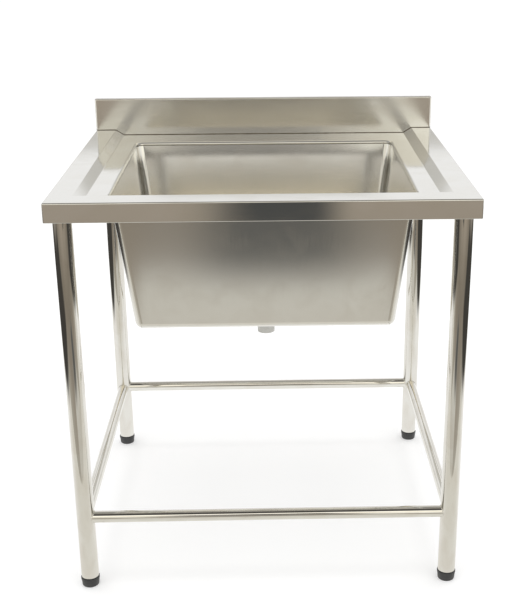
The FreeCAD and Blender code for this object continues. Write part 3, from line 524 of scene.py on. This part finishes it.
def buildSplashback():
    low, high = nodeBox("splashback")
    s = splash
    halfX, face, rear = high[0], low[1], high[1]
    # Columns stand where the worktop's own bends do, so the foot follows its step exactly
    section = worktopProfile()
    section = section[np.argmax(section[:, 1]):]
    inner = halfX - section[::-1, 0]
    places = np.concatenate([-inner[::-1], np.linspace(-inner[0], inner[0], 30)[1:-1], inner])
    half = halfX - s["endBend"]
    places = places[np.abs(places) < half - s["spare"]]
    share = (places + half) / (2 * half)

    def deckHeight(x):
        return np.interp(halfX - np.abs(x), section[:, 0], section[:, 1])

    # The face and its end returns: up from the foot, then over the top bend, where the corners become part of
    # a ball. Rows are (inset, height under the top); the foot row lies on the worktop.
    turn = np.linspace(0, math.pi / 2, 7)
    footRows = len(s["rise"])
    inset = np.concatenate([[s["foot"], 0, 0, 0], s["bend"] - s["bend"] * np.cos(turn)])
    down = np.concatenate([np.zeros(footRows), s["bend"] * np.sin(turn) - s["bend"]])
    x, y = roundedLoop(halfX - inset, face + inset, rear, s["endBend"] - inset, 0, share)
    count = 2 * (loopCounts["side"] + loopCounts["corner"]) + len(share)
    x, y = x[:, :count], y[:, :count]
    rise = np.array(s["rise"] + [0] * len(turn))[:, None]
    isFoot = np.arange(len(inset))[:, None] < footRows
    z = np.where(isFoot, deckHeight(x) + s["footGap"] + rise, high[2] + down[:, None])
    u = np.sign(x) * (np.abs(x) + np.maximum(0, y - face))
    grid = gridOf(x, y, z)
    front = (grid, gridOf(u, z - high[2] + 3 * np.maximum(0, inset)[:, None]))

    # The top, from the bend back to the rear fold, its lip down the rear; both end on the same columns
    edge = grid[-1]
    topStart = face + s["bend"]
    onFront = np.abs(edge[:, 1] - topStart) < 0.001
    columns = edge[onFront][:, 0]
    back = roundCorners([(topStart, high[2]), (rear, high[2]), (rear, high[2] - s["lip"])], [s["lipBend"]], 5)
    run = arcLength(back)[:, None] + s["topGrain"]
    top = (gridOf(columns, back[:, :1], back[:, 1:]), gridOf(columns, run))

    # Its two ends: the strip between the last column and the side's inner edge
    ends = []
    for side, last in ((-1, columns[0]), (1, columns[-1])):
        rim = edge[(side * edge[:, 0] > side * last) & ~onFront]
        rim = rim[np.argsort(rim[:, 1])]
        inside = gridOf(last, rim[:, 1], rim[:, 2])
        strip = np.stack([rim, inside] if side < 0 else [inside, rim])
        ends.append((strip, strip[..., :2] * [1, -1] + [0, s["endGrain"]]))
    addPiece("splashback_sheet", [front, top] + ends, "sheet_steel", ["splashback"],
             finish="groundSplashback", wall=s["gauge"])
    buildSeam(grid[1], halfX, deckHeight)


seam = {"radius": 0.9, "wave": 0.12, "waveRate": 1.7, "sides": 10, "up": 0.45, "forward": 0.2, "flat": 0.6,
        "flatSide": 0.5, "onSide": 0.01}


def buildSeam(path, halfX, heightAt):
    # Weld along the foot: a thin bead, its dark colour painted shade of the crevice, that follows the step and
    # turns both corners
    s = seam
    around = np.linspace(0, fullTurn, s["sides"] + 1)[:, None]
    bead = s["radius"] * (1 + s["wave"] * np.sin(path[:, 0] * s["waveRate"]))[None, :]
    out = np.where(np.abs(path[:, 0]) > halfX - s["onSide"], 0.0, 1.0)[None, :]
    side = (1 - out) * np.sign(path[:, 0])[None, :]
    reach = bead * np.cos(around)
    grid = gridOf(path[:, 0] - side * (splash["foot"] - reach * s["flatSide"]),
                  path[:, 1] + out * (s["forward"] - reach * s["flat"]),
                  heightAt(path[:, 0]) + s["up"] + bead * np.sin(around))
    # Both ends close on a point
    tips = [np.broadcast_to(grid[:-1, i:i + 1].mean(0), grid[:, :1].shape) for i in (0, len(path) - 1)]
    grid = np.concatenate([tips[0], grid, tips[1]], 1)
    uv = gridOf(np.pad(path[:, 0], 1, "edge"), around)
    addPiece("splashback_seam", [(grid, uv)], "sheet_steel", finish="brownedWeldSeam")


# Bowl: four walls that lean in to the floor, rounded corners, and a recess for the waste

bowl = {
    "gauge": 1.2, "corner": 16.0, "leastCorner": 0.8, "lean": 35.0, "floorRadius": 15.0,
    "wallRows": 7, "arcRows": 9, "floorRings": 4,
    "recessRadius": 58.0, "recessDepth": 3.0, "recessRun": 0.8, "recessBends": [1.4, 0.84],
    "recessMargin": 4.0, "holeRadius": 44.0,
    "planOffset": 2000.0,  # keeps the floor's grain apart from the walls'
}


def buildBowl():
    low, high = nodeBox("bowl")
    b = bowl
    halfX = high[0] - b["gauge"]
    front, rear = low[1] + b["gauge"], high[1] - b["gauge"]
    middle = (front + rear) / 2
    floor = low[2] + b["gauge"] + b["recessDepth"]
    slope = b["lean"] / (high[2] - (floor - b["gauge"]))
    tilt = math.atan(slope)
    radius = b["floorRadius"]
    # Wall rows down to the floor's arc, then the arc itself: centre - radius * (cos a, sin a)
    centreZ = floor + radius
    centreD = slope * (high[2] - centreZ + radius * math.sin(tilt)) + radius * math.cos(tilt)
    wallZ = np.linspace(high[2], centreZ - radius * math.sin(tilt), b["wallRows"] + 1)[:-1]
    angle = np.linspace(tilt, math.pi / 2, b["arcRows"])
    inset = np.concatenate([slope * (high[2] - wallZ), centreD - radius * np.cos(angle)])
    height = np.concatenate([wallZ, centreZ - radius * np.sin(angle)])
    beyond = np.clip(inset - (centreD - radius * math.cos(tilt)), 0, None)
    corner = np.clip(b["corner"] - beyond, b["leastCorner"], None)
    x, y = roundedLoop(halfX - inset, front + inset, rear - inset, corner, corner)
    # Floor: each point of the last loop slides straight to the recess's edge at its own angle
    turn = np.arctan2(y[-1] - middle, x[-1])
    recess = floor - b["recessDepth"]
    pan = roundCorners([(b["recessRadius"] + b["recessMargin"], floor), (b["recessRadius"], floor),
                        (b["recessRadius"] - b["recessRun"], recess), (b["holeRadius"], recess)],
                       b["recessBends"], 5)
    panX = pan[:, :1] * np.cos(turn)
    panY = middle + pan[:, :1] * np.sin(turn)
    mix = np.linspace(0, 1, b["floorRings"] + 2)[1:-1, None]
    floorX = x[-1] * (1 - mix) + panX[0] * mix
    floorY = y[-1] * (1 - mix) + panY[0] * mix
    grid = np.concatenate([gridOf(x, y, height[:, None]), gridOf(floorX, floorY, floor),
                           gridOf(panX, panY, pan[:, 1:2])])
    grid = np.concatenate([grid, grid[:, :1]], 1)
    # u runs round the walls, v down them; on the floor they are the plan's x and y
    ring = np.concatenate(roundedLoop(halfX, front, rear, b["corner"], b["corner"]))
    ring = np.concatenate([ring, ring[:, :1]], 1).T
    split = len(height)
    walls = (grid[:split], gridOf(arcLength(ring), arcLength(gridOf(inset, height))[:, None]))
    base = (grid[split - 1:], grid[split - 1:, :, :2] + b["planOffset"])
    addPiece("bowl_pressing", [walls, base], "sheet_steel", ["bowl"], finish="handPolishedBowl",
             wall=b["gauge"], outward=False)


buildWorktop()
buildSplashback()
buildBowl()
print("worktop, splashback and bowl made")


# Underframe: four legs, four rails cut to sit on them, and the weld round each rail's end

underframe = {
    "tubeWall": 1.2, "cutEdge": 0.35, "longestStep": 40.0, "railRows": 22, "railSides": 64, "weldRadius": 1.5,
    "weldFlat": 0.75, "weldRipple": 0.16, "weldBeads": 30, "weldSteps": 120, "weldSides": 10,
}


def buildLegs():
    f = underframe
    for corner in feet:
        node = "leg_" + corner
        low, high, outside = turnedBox(node)
        inside = outside - f["tubeWall"]
        start = (inside, (low + high) / 2)  # halfway up the bore
        ring = [start, (inside, low), (outside, low), (outside, high), (inside, high), start]
        profile = shortSteps(roundCorners(ring, [f["cutEdge"]] * 4, 3), f["longestStep"])
        addPiece("leg_tube_" + corner, [turnedPatch(profile, middleOf(node))], "tube_steel", [node])


def saddleReach(legRadius, railRadius, angle):
    # how far from the leg's axis a tube of that radius meets the leg, at each angle round the tube
    return np.sqrt(legRadius ** 2 - (railRadius * np.sin(angle)) ** 2)


def placeAlong(along, sideways, up, centre, axis):
    # points given along the rail, sideways and up, as x, y, z
    if axis == 0:
        return gridOf(centre[0] + along, centre[1] - sideways, centre[2] + up)
    return gridOf(centre[0] + sideways, centre[1] + along, centre[2] + up)


def buildRails():
    f = underframe
    legRadius = turnedBox("leg_front_left")[2]
    legPlace = np.abs(middleOf("leg_front_left"))
    angle = np.linspace(0, fullTurn, f["railSides"] + 1)
    rows = f["railRows"]
    for name, axis in (("front", 0), ("rear", 0), ("left", 1), ("right", 1)):
        low, high = nodeBox("rail_" + name)
        centre = (low + high) / 2
        outside = (high[2] - low[2]) / 2
        half = legPlace[axis]
        # Rows: outside from one saddle to the other, then back inside the bore
        there = np.linspace(-1, 1, rows)
        radii = np.array([outside] * rows + [outside - f["tubeWall"]] * rows + [outside])[:, None]
        sign = np.concatenate([there, there[::-1], [-1]])[:, None]
        along = sign * (half - saddleReach(legRadius, radii, angle))
        grid = placeAlong(along, radii * np.sin(angle), radii * np.cos(angle), centre, axis)
        patch = (grid, gridOf(angle * outside, along + half))
        addPiece("rail_tube_" + name, [patch], "tube_steel", ["rail_" + name])
        # Weld: a rippled bead that follows the saddle, a small circle carried round it
        around = np.linspace(0, fullTurn, f["weldSteps"] + 1)[None, :]
        section = np.linspace(0, fullTurn, f["weldSides"] + 1)[:, None]
        bead = f["weldRadius"] * (1 + f["weldRipple"] * np.cos(f["weldBeads"] * around))
        radius = outside + bead * np.cos(section) * f["weldFlat"]
        for end, side in (("start", -1), ("end", 1)):
            along = side * (half - saddleReach(legRadius, outside, around) - bead * np.sin(section))
            ring = placeAlong(along, radius * np.sin(around), radius * np.cos(around), centre, axis)
            if side > 0:
                ring = ring[::-1]
            uv = gridOf(around * outside, section * f["weldRadius"])
            addPiece("weld_%s_%s" % (name, end), [(ring, uv)], "tube_steel")


buildLegs()
buildRails()
print("legs, rails and welds made")


# Levelling feet: a nylon plug in each leg, a threaded stud in a nylon collar, and the pad it turns in

collar = {"boss": 7.5, "gap": 0.3, "bore": 5.2, "boreDepth": 0.3, "edge": 0.7, "ribs": 24, "ribDepth": 0.35,
          "around": 240, "bends": [0.5, 0.3, 0.7, 0.7, 0.1, 0.1]}


def buildCollar(corner, centre):
    # lightly ribbed round its edge for a finger grip, with the boss that sits in the pad
    c = collar
    low, high, outside = turnedBox("foot_ring_" + corner)
    under = turnedBox("foot_pad_" + corner)[1] + c["gap"]
    bottom = high - c["boreDepth"]
    outline = [(0, low), (c["boss"], low), (c["boss"], under), (outside, under), (outside, high),
               (c["bore"], high), (c["bore"], bottom), (0, bottom)]
    profile = roundCorners(outline, c["bends"], 4)

    def ribbed(rows, angle):
        rim = (rows[:, :1] > outside - c["edge"] * 0.3) * np.ones_like(angle)
        return rows[:, :1] - rim * c["ribDepth"] * (0.5 - 0.5 * np.cos(c["ribs"] * angle)) ** 6

    addPiece("foot_collar_" + corner, [turnedPatch(profile, centre, c["around"], ribbed)], "foot_plastic",
             ["foot_ring_" + corner], "foot_screw_" + corner)


pad = {"dish": 0.6, "dishRadius": 9.0, "soleRadius": 10.5, "soleInset": 1.4, "well": 7.6, "wellFloor": 7.9,
       "bends": [0.4, 0.6, 3.0, 0.5, 0.2, 0.2]}


def buildPad(corner, centre):
    # a shallow dish with a rounded foot
    p = pad
    node = "foot_pad_" + corner
    low, high, outside = turnedBox(node)
    dish = low + p["dish"]
    outline = [(0, dish), (p["dishRadius"], dish), (p["soleRadius"], low), (outside - p["soleInset"], low),
               (outside, high), (p["well"], high), (p["well"], p["wellFloor"]), (0, p["wellFloor"])]
    addTurned(node + "_moulding", outline, p["bends"], 5, centre, "foot_plastic", node, "foot_base_" + corner)


plug = {"bore": 5.08, "fit": 0.08, "lead": 2.0, "start": 4.0, "bends": [0.3, 0.35, 0.35, 0.05, 0.3, 0.3, 0.3]}


def buildPlug(corner, centre):
    # its flange shows between the tube and the collar
    p = plug
    node = "foot_insert_" + corner
    low, high, flange = turnedBox(node)
    legFoot = turnedBox("leg_" + corner)[0]
    shank = flange - underframe["tubeWall"] - p["fit"]
    start = (p["bore"], high - p["start"])
    outline = [start, (p["bore"], low), (flange, low), (flange, legFoot), (shank, legFoot),
               (shank, high - p["lead"]), (shank - p["lead"], high), (p["bore"], high), start]
    addTurned("foot_plug_" + corner, outline, p["bends"], 3, centre, "insert_plastic", node)


stud = {"pitch": 1.5, "depth": 0.9, "stepsPerTurn": 8, "around": 40, "plain": 1.0, "core": 1.0,
        "runOut": 1.5, "tip": 0.8, "rowRun": 0.2, "sharp": 80}


def buildStud(corner, centre):
    # A helical thread: the radius falls and rises once a pitch, and the pattern climbs as it turns
    s = stud
    low, high, radius = turnedBox("foot_stud_" + corner)
    core = radius - s["core"]
    tall = high - low - s["plain"]
    count = int((high - low) / s["pitch"] * s["stepsPerTurn"])
    up = np.linspace(0, tall, count)[:, None]
    angle = np.linspace(0, fullTurn, s["around"] + 1)[None, :]
    phase = (up / s["pitch"] - angle / fullTurn) % 1
    cut = radius - s["depth"] * np.abs(2 * phase - 1) ** 1.3
    cut = core + (cut - core) * np.clip((tall - up) / s["runOut"], 0, 1)
    # Both ends close on the axis, the upper over a flat
    cut = np.concatenate([0 * angle, cut, s["tip"] * cut[-1:], 0 * angle])
    height = np.concatenate([[[low]], low + up, [[high], [high]]])
    grid = gridOf(centre[0] + cut * np.cos(angle), centre[1] + cut * np.sin(angle), height)
    uv = gridOf(angle * radius, np.arange(len(grid))[:, None] * s["rowRun"])
    addPiece("foot_thread_" + corner, [(grid, uv)], "screw_steel", ["foot_stud_" + corner],
             "foot_screw_" + corner, sharp=s["sharp"])


for corner in feet:
    for build in (buildCollar, buildPad, buildPlug, buildStud):
        build(corner, middleOf("foot_ring_" + corner))
print("feet made")


# Waste: the tail under the bowl and the slip nut that holds it

tail = {"radius": 20.0, "wall": 1.2, "shoulder": 0.8, "cone": 2.0, "flangeDepth": 2.5,
        "bends": [0.4, 0.5, 0.4, 0.3, 0.2, 0.3, 0.4, 0.3]}


def buildTail():
    t = tail
    low, high, flange = turnedBox("tailpiece")
    nutFoot = turnedBox("tail_nut")[0]
    under = high - t["flangeDepth"]
    radius = t["radius"]
    bore = radius - t["wall"]
    shoulder = radius + t["shoulder"]
    start = (bore, (low + high) / 2)
    outline = [start, (bore, low), (radius, low), (radius, nutFoot - t["cone"]), (shoulder, nutFoot),
               (shoulder, under), (flange, under), (flange, high), (bore, high), start]
    addTurned("tail_pipe", outline, t["bends"], 4, middleOf("tailpiece"), "waste_plastic", "tailpiece")
    return shoulder, flange


nut = {"fit": 0.08, "gripShare": 0.965, "floor": 9.5, "start": 3.0, "lead": 3.0, "footInset": 1.0,
       "topInset": 0.5, "bends": [0.5, 1.5, 1.2, 1.2, 0.8, 0.5, 0.2, 0.2], "ribs": 16, "ribDepth": 0.9,
       "band": 2.5, "bandInset": 2.0, "longestStep": 1.6, "around": 192}


def buildNut(shoulder, flange):
    # a ribbed grip between two plain bands, open through the middle
    n = nut
    low, high, outside = turnedBox("tail_nut")
    grip = outside * n["gripShare"]
    throat = shoulder + n["fit"]
    waist = flange + n["fit"]
    floor = low + n["floor"]
    start = (throat, floor - n["start"])
    outline = [start, (throat, low), (grip - n["footInset"], low), (grip, low + n["lead"]),
               (grip, high - n["lead"]), (grip - n["topInset"], high), (waist, high), (waist, floor),
               (throat, floor), start]
    profile = shortSteps(roundCorners(outline, n["bends"], 4), n["longestStep"])

    def ribbed(rows, angle):
        # flutes cut into the band between the two rims
        radius, height = rows[:, :1], rows[:, 1:]
        band = (radius > waist + n["bandInset"]) & (height > low + n["band"]) & (height < high - n["band"])
        return radius - band * n["ribDepth"] * (0.5 + 0.5 * np.cos(n["ribs"] * angle)) ** 2

    addPiece("tail_slip_nut", [turnedPatch(profile, middleOf("tailpiece"), n["around"], ribbed)],
             "nut_plastic", ["tail_nut"])


buildNut(*buildTail())
print("waste made")


# CAD nodes that stay: their own material, their loose triangles joined, flat faces kept flat


def finishNodes():
    hidden = {name for o in bpy.context.scene.objects for name in o.get("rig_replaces", [])}
    slots = {row["node"]: row["material_slot"] for row in frame["record"]["subparts"]}
    kept = [name for name in frame["nodes"] if name not in hidden]
    for name in kept:
        piece = frame["nodes"][name]
        if not piece.material_slots:
            piece.data.materials.append(None)
        for slot in piece.material_slots:
            slot.link = "OBJECT"
            slot.material = materials[slots[name]]
        weld = piece.modifiers.new("Joined", "WELD")
        weld.merge_threshold = meshing["join"] * mm
        level = piece.modifiers.new("Flat", "WEIGHTED_NORMAL")
        level.keep_sharp = True
    return kept


print("CAD nodes kept:", len(finishNodes()))


# Camera: the photograph's own, worked out from the edges of the sink

camera = {"place": (10.35, -2420.86, 1400.48), "yaw": 0.02395, "pitch": -0.35599, "roll": -0.00418,
          "focal": 1096.436, "centre": (294.997, 314.582), "image": (509, 610), "sensor": 36.0}


def addCamera():
    c = camera
    yaw, pitch, roll = c["yaw"], c["pitch"], c["roll"]
    ahead = Vector((math.sin(yaw) * math.cos(pitch), math.cos(yaw) * math.cos(pitch), math.sin(pitch)))
    level = Vector((math.cos(yaw), -math.sin(yaw), 0))
    upright = level.cross(ahead)
    right = math.cos(roll) * level + math.sin(roll) * upright
    up = math.cos(roll) * upright - math.sin(roll) * level
    data = bpy.data.cameras.new("Camera")
    width, height = c["image"]
    data.sensor_width = c["sensor"]
    data.lens = c["focal"] * c["sensor"] / height
    data.shift_x = (width / 2 - c["centre"][0]) / height
    data.shift_y = (c["centre"][1] - height / 2) / height
    item = newObject("Camera", data)
    turn = Matrix((right, up, -ahead)).transposed().to_4x4()
    item.matrix_world = Matrix.Translation(Vector(c["place"]) * mm) @ turn
    bpy.context.scene.camera = item


addCamera()


# Studio: a sheet of white paper, and round it the dim room that the metal mirrors, in metres and plain
# linear light. Only mirrored rays see the room; the camera sees white and the sink's shadow. A pair of
# places is where something starts to show and where it shows in full.

studio = {
    "floorReach": 20.0, "paperDiffuse": 0.72, "lift": 0.34,
    # the paper as the metal mirrors it, and the dim floor at its sides
    "paperNear": (0.78, 0.76, 0.70), "paperFar": (1.0, 1.0, 0.99), "paperFarFrom": (-0.7, 0.1),
    "paperFront": -0.84, "paperHalf": (1.3, 1.6), "sidesBehind": (-2.1, -1.5),
    "sideFloor": (0.06, 0.057, 0.052), "farSide": (0.30, 0.275, 0.24), "farSideFrom": (2.9, 3.5),
    # the room's floor from the paper's front edge on: share of the way and light
    "frontReach": 2.76,
    "frontFloor": [(0.0, 0.62, 0.595, 0.54), (0.155, 0.66, 0.645, 0.595), (0.235, 0.31, 0.285, 0.25),
                   (0.5, 0.25, 0.22, 0.18), (0.92, 0.37, 0.325, 0.265)],
    # the same floor further out, which the legs mirror and the bowl doesn't
    "frontSidesFrom": (0.39, 0.47),
    "frontSides": [(0.0, 0.47, 0.45, 0.40), (0.13, 0.39, 0.355, 0.30), (0.24, 0.30, 0.265, 0.22),
                   (0.5, 0.25, 0.22, 0.18), (0.92, 0.40, 0.35, 0.29)],
    # a dark place on that floor, by its left, right, near and far edges
    "darkFloor": (0.12, 0.12, 0.115), "darkLeft": (-0.34, -0.08), "darkRight": (0.42, 0.14),
    "darkNear": (-1.2, -1.55), "darkFar": (-2.05, -1.85),
    # the room in front by how far up the view looks, 0 level and 1 straight up: dim, bright, a dark ceiling
    "frontWall": [(0.0, 0.24, 0.23, 0.21), (0.14, 0.42, 0.40, 0.36), (0.24, 0.50, 0.48, 0.43),
                  (0.32, 0.86, 0.80, 0.67), (0.45, 1.15, 1.08, 0.92), (0.53, 1.5, 1.45, 1.32),
                  (0.66, 1.5, 1.45, 1.32), (0.72, 0.09, 0.085, 0.08), (0.975, 0.09, 0.085, 0.08),
                  (1.0, 0.5, 0.49, 0.46)],
    "backWall": [(0.0, 1.0, 1.0, 1.0), (0.4, 1.0, 1.0, 1.0), (0.6, 0.66, 0.65, 0.62),
                 (0.85, 0.42, 0.41, 0.385), (0.975, 0.30, 0.29, 0.27), (1.0, 0.5, 0.49, 0.46)],
    "frontWallFrom": (0.1, -0.3),
    "sideWall": (0.12, 0.117, 0.11), "sideWallFrom": (0.6, 0.85), "sideWallUp": (0.12, 0.3),
    # brighter stretches low on the front wall: where each is across, and its light
    "windows": [((0.06, 0.11), (1.2, 1.18, 1.08)), ((-0.07, -0.13), (0.92, 0.90, 0.81))],
    "windowTop": (0.36, 0.28),
    # the white wall behind the sink: a grey patch that the step and the top edge mirror, and a duller foot
    "backPatch": (0.62, 0.61, 0.58), "patchHalf": (0.55, 0.35), "patchTop": (1.46, 1.40),
    "patchTopAside": (1.27, 1.22), "patchFoot": (1.08, 1.14),
    "backLow": (0.84, 0.835, 0.82), "lowFoot": (0.0, 0.4), "lowTop": (0.9, 0.65),
    # cards: light, box (left, right, y, bottom, top), and how their left and right edges fade
    "backdrop": (-2.5, 2.5, 1.9, 0.0, 2.0),
    "stand": ((0.08, 0.082, 0.081), (-0.26, 0.3, -1.5, 0.49, 0.72), (-0.24, -0.03), (0.27, 0.14)),
    "figure": ((0.31, 0.30, 0.28), (-0.6, 0.45, -2.6, 0.75, 1.5), (-0.6, -0.3), (0.45, 0.15)),
    "sidePanel": (1.05, 1.04, 1.0), "panelX": 2.6, "panelBox": (-1.5, 1.8, 0.3, 1.4),
    "panelFade": ((-3.0, -2.9), (3.0, 2.9)),
    "lampSize": 2.6, "lampHeight": 3.4, "lampForward": 0.2, "lampWatts": 30.0, "fill": 1.0,
}


def addStage(name, points, material, mirroredOnly=False):
    mesh = bpy.data.meshes.new(name)
    mesh.from_pydata(points, [], [tuple(range(len(points)))])
    mesh.materials.append(material)
    item = newObject(name, mesh)
    if mirroredOnly:
        for rays in ("camera", "diffuse", "shadow", "transmission"):
            setattr(item, "visible_" + rays, False)


def axesOf(tree, output="Object"):
    place = addNode(tree, "TexCoord").outputs[output]
    return addNode(tree, "SeparateXYZ", links={"Vector": place}).outputs


def ease(tree, value, places):
    # 0 at the first place, 1 at the second, smooth between
    return spread(tree, value, 0.0, 1.0, *places, "SMOOTHSTEP")


def size(tree, value):
    return addNode(tree, "Math", {"operation": "ABSOLUTE"}, {0: value}).outputs["Value"]


def feed(tree, socket, source):
    # a light value, or another node's output
    if isinstance(source, tuple):
        socket.default_value = (*source, 1.0)
    else:
        tree.links.new(source, socket)


def blend(tree, share, first, second):
    # from first to second
    node = addNode(tree, "MixRGB", links={"Fac": share})
    feed(tree, node.inputs["Color1"], first)
    feed(tree, node.inputs["Color2"], second)
    return node.outputs["Color"]


def ramp(tree, value, stops):
    node = addNode(tree, "ValToRGB", links={"Fac": value})
    elements = node.color_ramp.elements
    while len(elements) < len(stops):
        elements.new(0.5)
    for element, (place, *light) in zip(elements, stops):
        element.position = place
        element.color = (*light, 1.0)
    return node.outputs["Color"]


def shade(tree, kind, light, strength=1.0):
    # an emission or a background
    node = addNode(tree, kind, {"Strength": strength})
    feed(tree, node.inputs["Color"], light)
    return node.outputs[0]


def choose(tree, share, first, second):
    return addNode(tree, "MixShader", links={0: share, 1: first, 2: second}).outputs[0]


def paperMaterial():
    s = studio
    material, tree = emptyMaterial("studioPaper")
    across, y, _ = axesOf(tree)
    x = size(tree, across)
    lit = addNode(tree, "BsdfDiffuse", {"Color": (s["paperDiffuse"],) * 3 + (1.0,)}).outputs[0]
    lift = shade(tree, "Emission", (1.0, 1.0, 1.0), s["lift"])
    seen = addNode(tree, "AddShader", links={0: lit, 1: lift}).outputs[0]
    edge = s["paperFront"]
    paper = blend(tree, ease(tree, y, s["paperFarFrom"]), s["paperNear"], s["paperFar"])
    away = spread(tree, y, 0.0, 1.0, edge, edge - s["frontReach"])
    front = blend(tree, ease(tree, x, s["frontSidesFrom"]), ramp(tree, away, s["frontFloor"]),
                  ramp(tree, away, s["frontSides"]))
    light = blend(tree, ease(tree, y, (edge + 0.01, edge - 0.01)), paper, front)
    side = combine(tree, ease(tree, x, s["paperHalf"]), ease(tree, y, s["sidesBehind"]))
    aside = blend(tree, ease(tree, x, s["farSideFrom"]), s["sideFloor"], s["farSide"])
    light = blend(tree, side, light, aside)
    dark = combine(tree, ease(tree, across, s["darkLeft"]), ease(tree, across, s["darkRight"]))
    for places in (s["darkNear"], s["darkFar"]):
        dark = combine(tree, dark, ease(tree, y, places))
    light = blend(tree, dark, light, s["darkFloor"])
    ray = addNode(tree, "LightPath").outputs["Is Glossy Ray"]
    pick = choose(tree, ray, seen, shade(tree, "Emission", light))
    addNode(tree, "OutputMaterial", links={"Surface": pick})
    return material


def backMaterial():
    s = studio
    material, tree = emptyMaterial("backdropPaper")
    across, _, z = axesOf(tree)
    middle = combine(tree, ease(tree, size(tree, across), s["patchHalf"]), ease(tree, z, s["patchTop"]))
    patch = combine(tree, middle, ease(tree, z, s["patchTopAside"]), "MAXIMUM")
    patch = combine(tree, patch, ease(tree, z, s["patchFoot"]))
    low = combine(tree, ease(tree, z, s["lowFoot"]), ease(tree, z, s["lowTop"]))
    light = blend(tree, low, (1.0, 1.0, 1.0), s["backLow"])
    light = blend(tree, patch, light, s["backPatch"])
    addNode(tree, "OutputMaterial", links={"Surface": shade(tree, "Emission", light)})
    return material


def cardMaterial(name, light, left, right):
    # a card that fades out towards both sides
    material, tree = emptyMaterial(name)
    across = axesOf(tree)["X"]
    clear = addNode(tree, "BsdfTransparent").outputs[0]
    soft = combine(tree, ease(tree, across, left), ease(tree, across, right))
    pick = choose(tree, soft, clear, shade(tree, "Emission", light))
    addNode(tree, "OutputMaterial", links={"Surface": pick})
    return material


def buildWorld():
    s = studio
    world = bpy.data.worlds.new("Studio")
    world.use_nodes = True
    bpy.context.scene.world = world
    tree = world.node_tree
    tree.nodes.clear()
    x, y, z = axesOf(tree, "Generated")
    front = ramp(tree, z, s["frontWall"])
    low = ease(tree, z, s["windowTop"])
    for places, light in s["windows"]:
        front = blend(tree, combine(tree, low, ease(tree, x, places)), front, light)
    room = blend(tree, ease(tree, y, s["frontWallFrom"]), ramp(tree, z, s["backWall"]), front)
    side = combine(tree, ease(tree, size(tree, x), s["sideWallFrom"]), ease(tree, z, s["sideWallUp"]))
    room = shade(tree, "Background", blend(tree, side, room, s["sideWall"]))
    white = shade(tree, "Background", (1.0, 1.0, 1.0))
    even = shade(tree, "Background", (1.0, 1.0, 1.0), s["fill"])
    ray = addNode(tree, "LightPath").outputs
    clear = combine(tree, ray["Is Camera Ray"], ray["Is Transmission Ray"], "ADD")
    pick = choose(tree, clear, choose(tree, ray["Is Glossy Ray"], even, room), white)
    addNode(tree, "OutputWorld", links={"Surface": pick})


def uprightCard(left, right, y, bottom, top):
    return [(left, y, bottom), (right, y, bottom), (right, y, top), (left, y, top)]


def buildStudio():
    s = studio
    reach = s["floorReach"]
    addStage("paper", [(-reach, -reach, 0), (reach, -reach, 0), (reach, reach, 0), (-reach, reach, 0)],
             paperMaterial())
    addStage("backdrop", uprightCard(*s["backdrop"]), backMaterial(), True)
    for name, finish in (("stand", "darkCard"), ("figure", "greyCard")):
        light, box, left, right = s[name]
        addStage(name, uprightCard(*box), cardMaterial(finish, light, left, right), True)
    near, far, bottom, top = s["panelBox"]
    for name, x in (("panelLeft", -s["panelX"]), ("panelRight", s["panelX"])):
        addStage(name, [(x, near, bottom), (x, far, bottom), (x, far, top), (x, near, top)],
                 cardMaterial(name, s["sidePanel"], *s["panelFade"]), True)
    data = bpy.data.lights.new("Overhead", "AREA")
    data.shape = "SQUARE"
    data.size = s["lampSize"]
    data.energy = s["lampWatts"]
    lamp = newObject("Overhead", data)
    lamp.location = (0, -s["lampForward"], s["lampHeight"])
    lamp.visible_glossy = False


buildWorld()
buildStudio()
bpy.context.scene.view_settings.view_transform = "Standard"
print("camera, world and studio made")
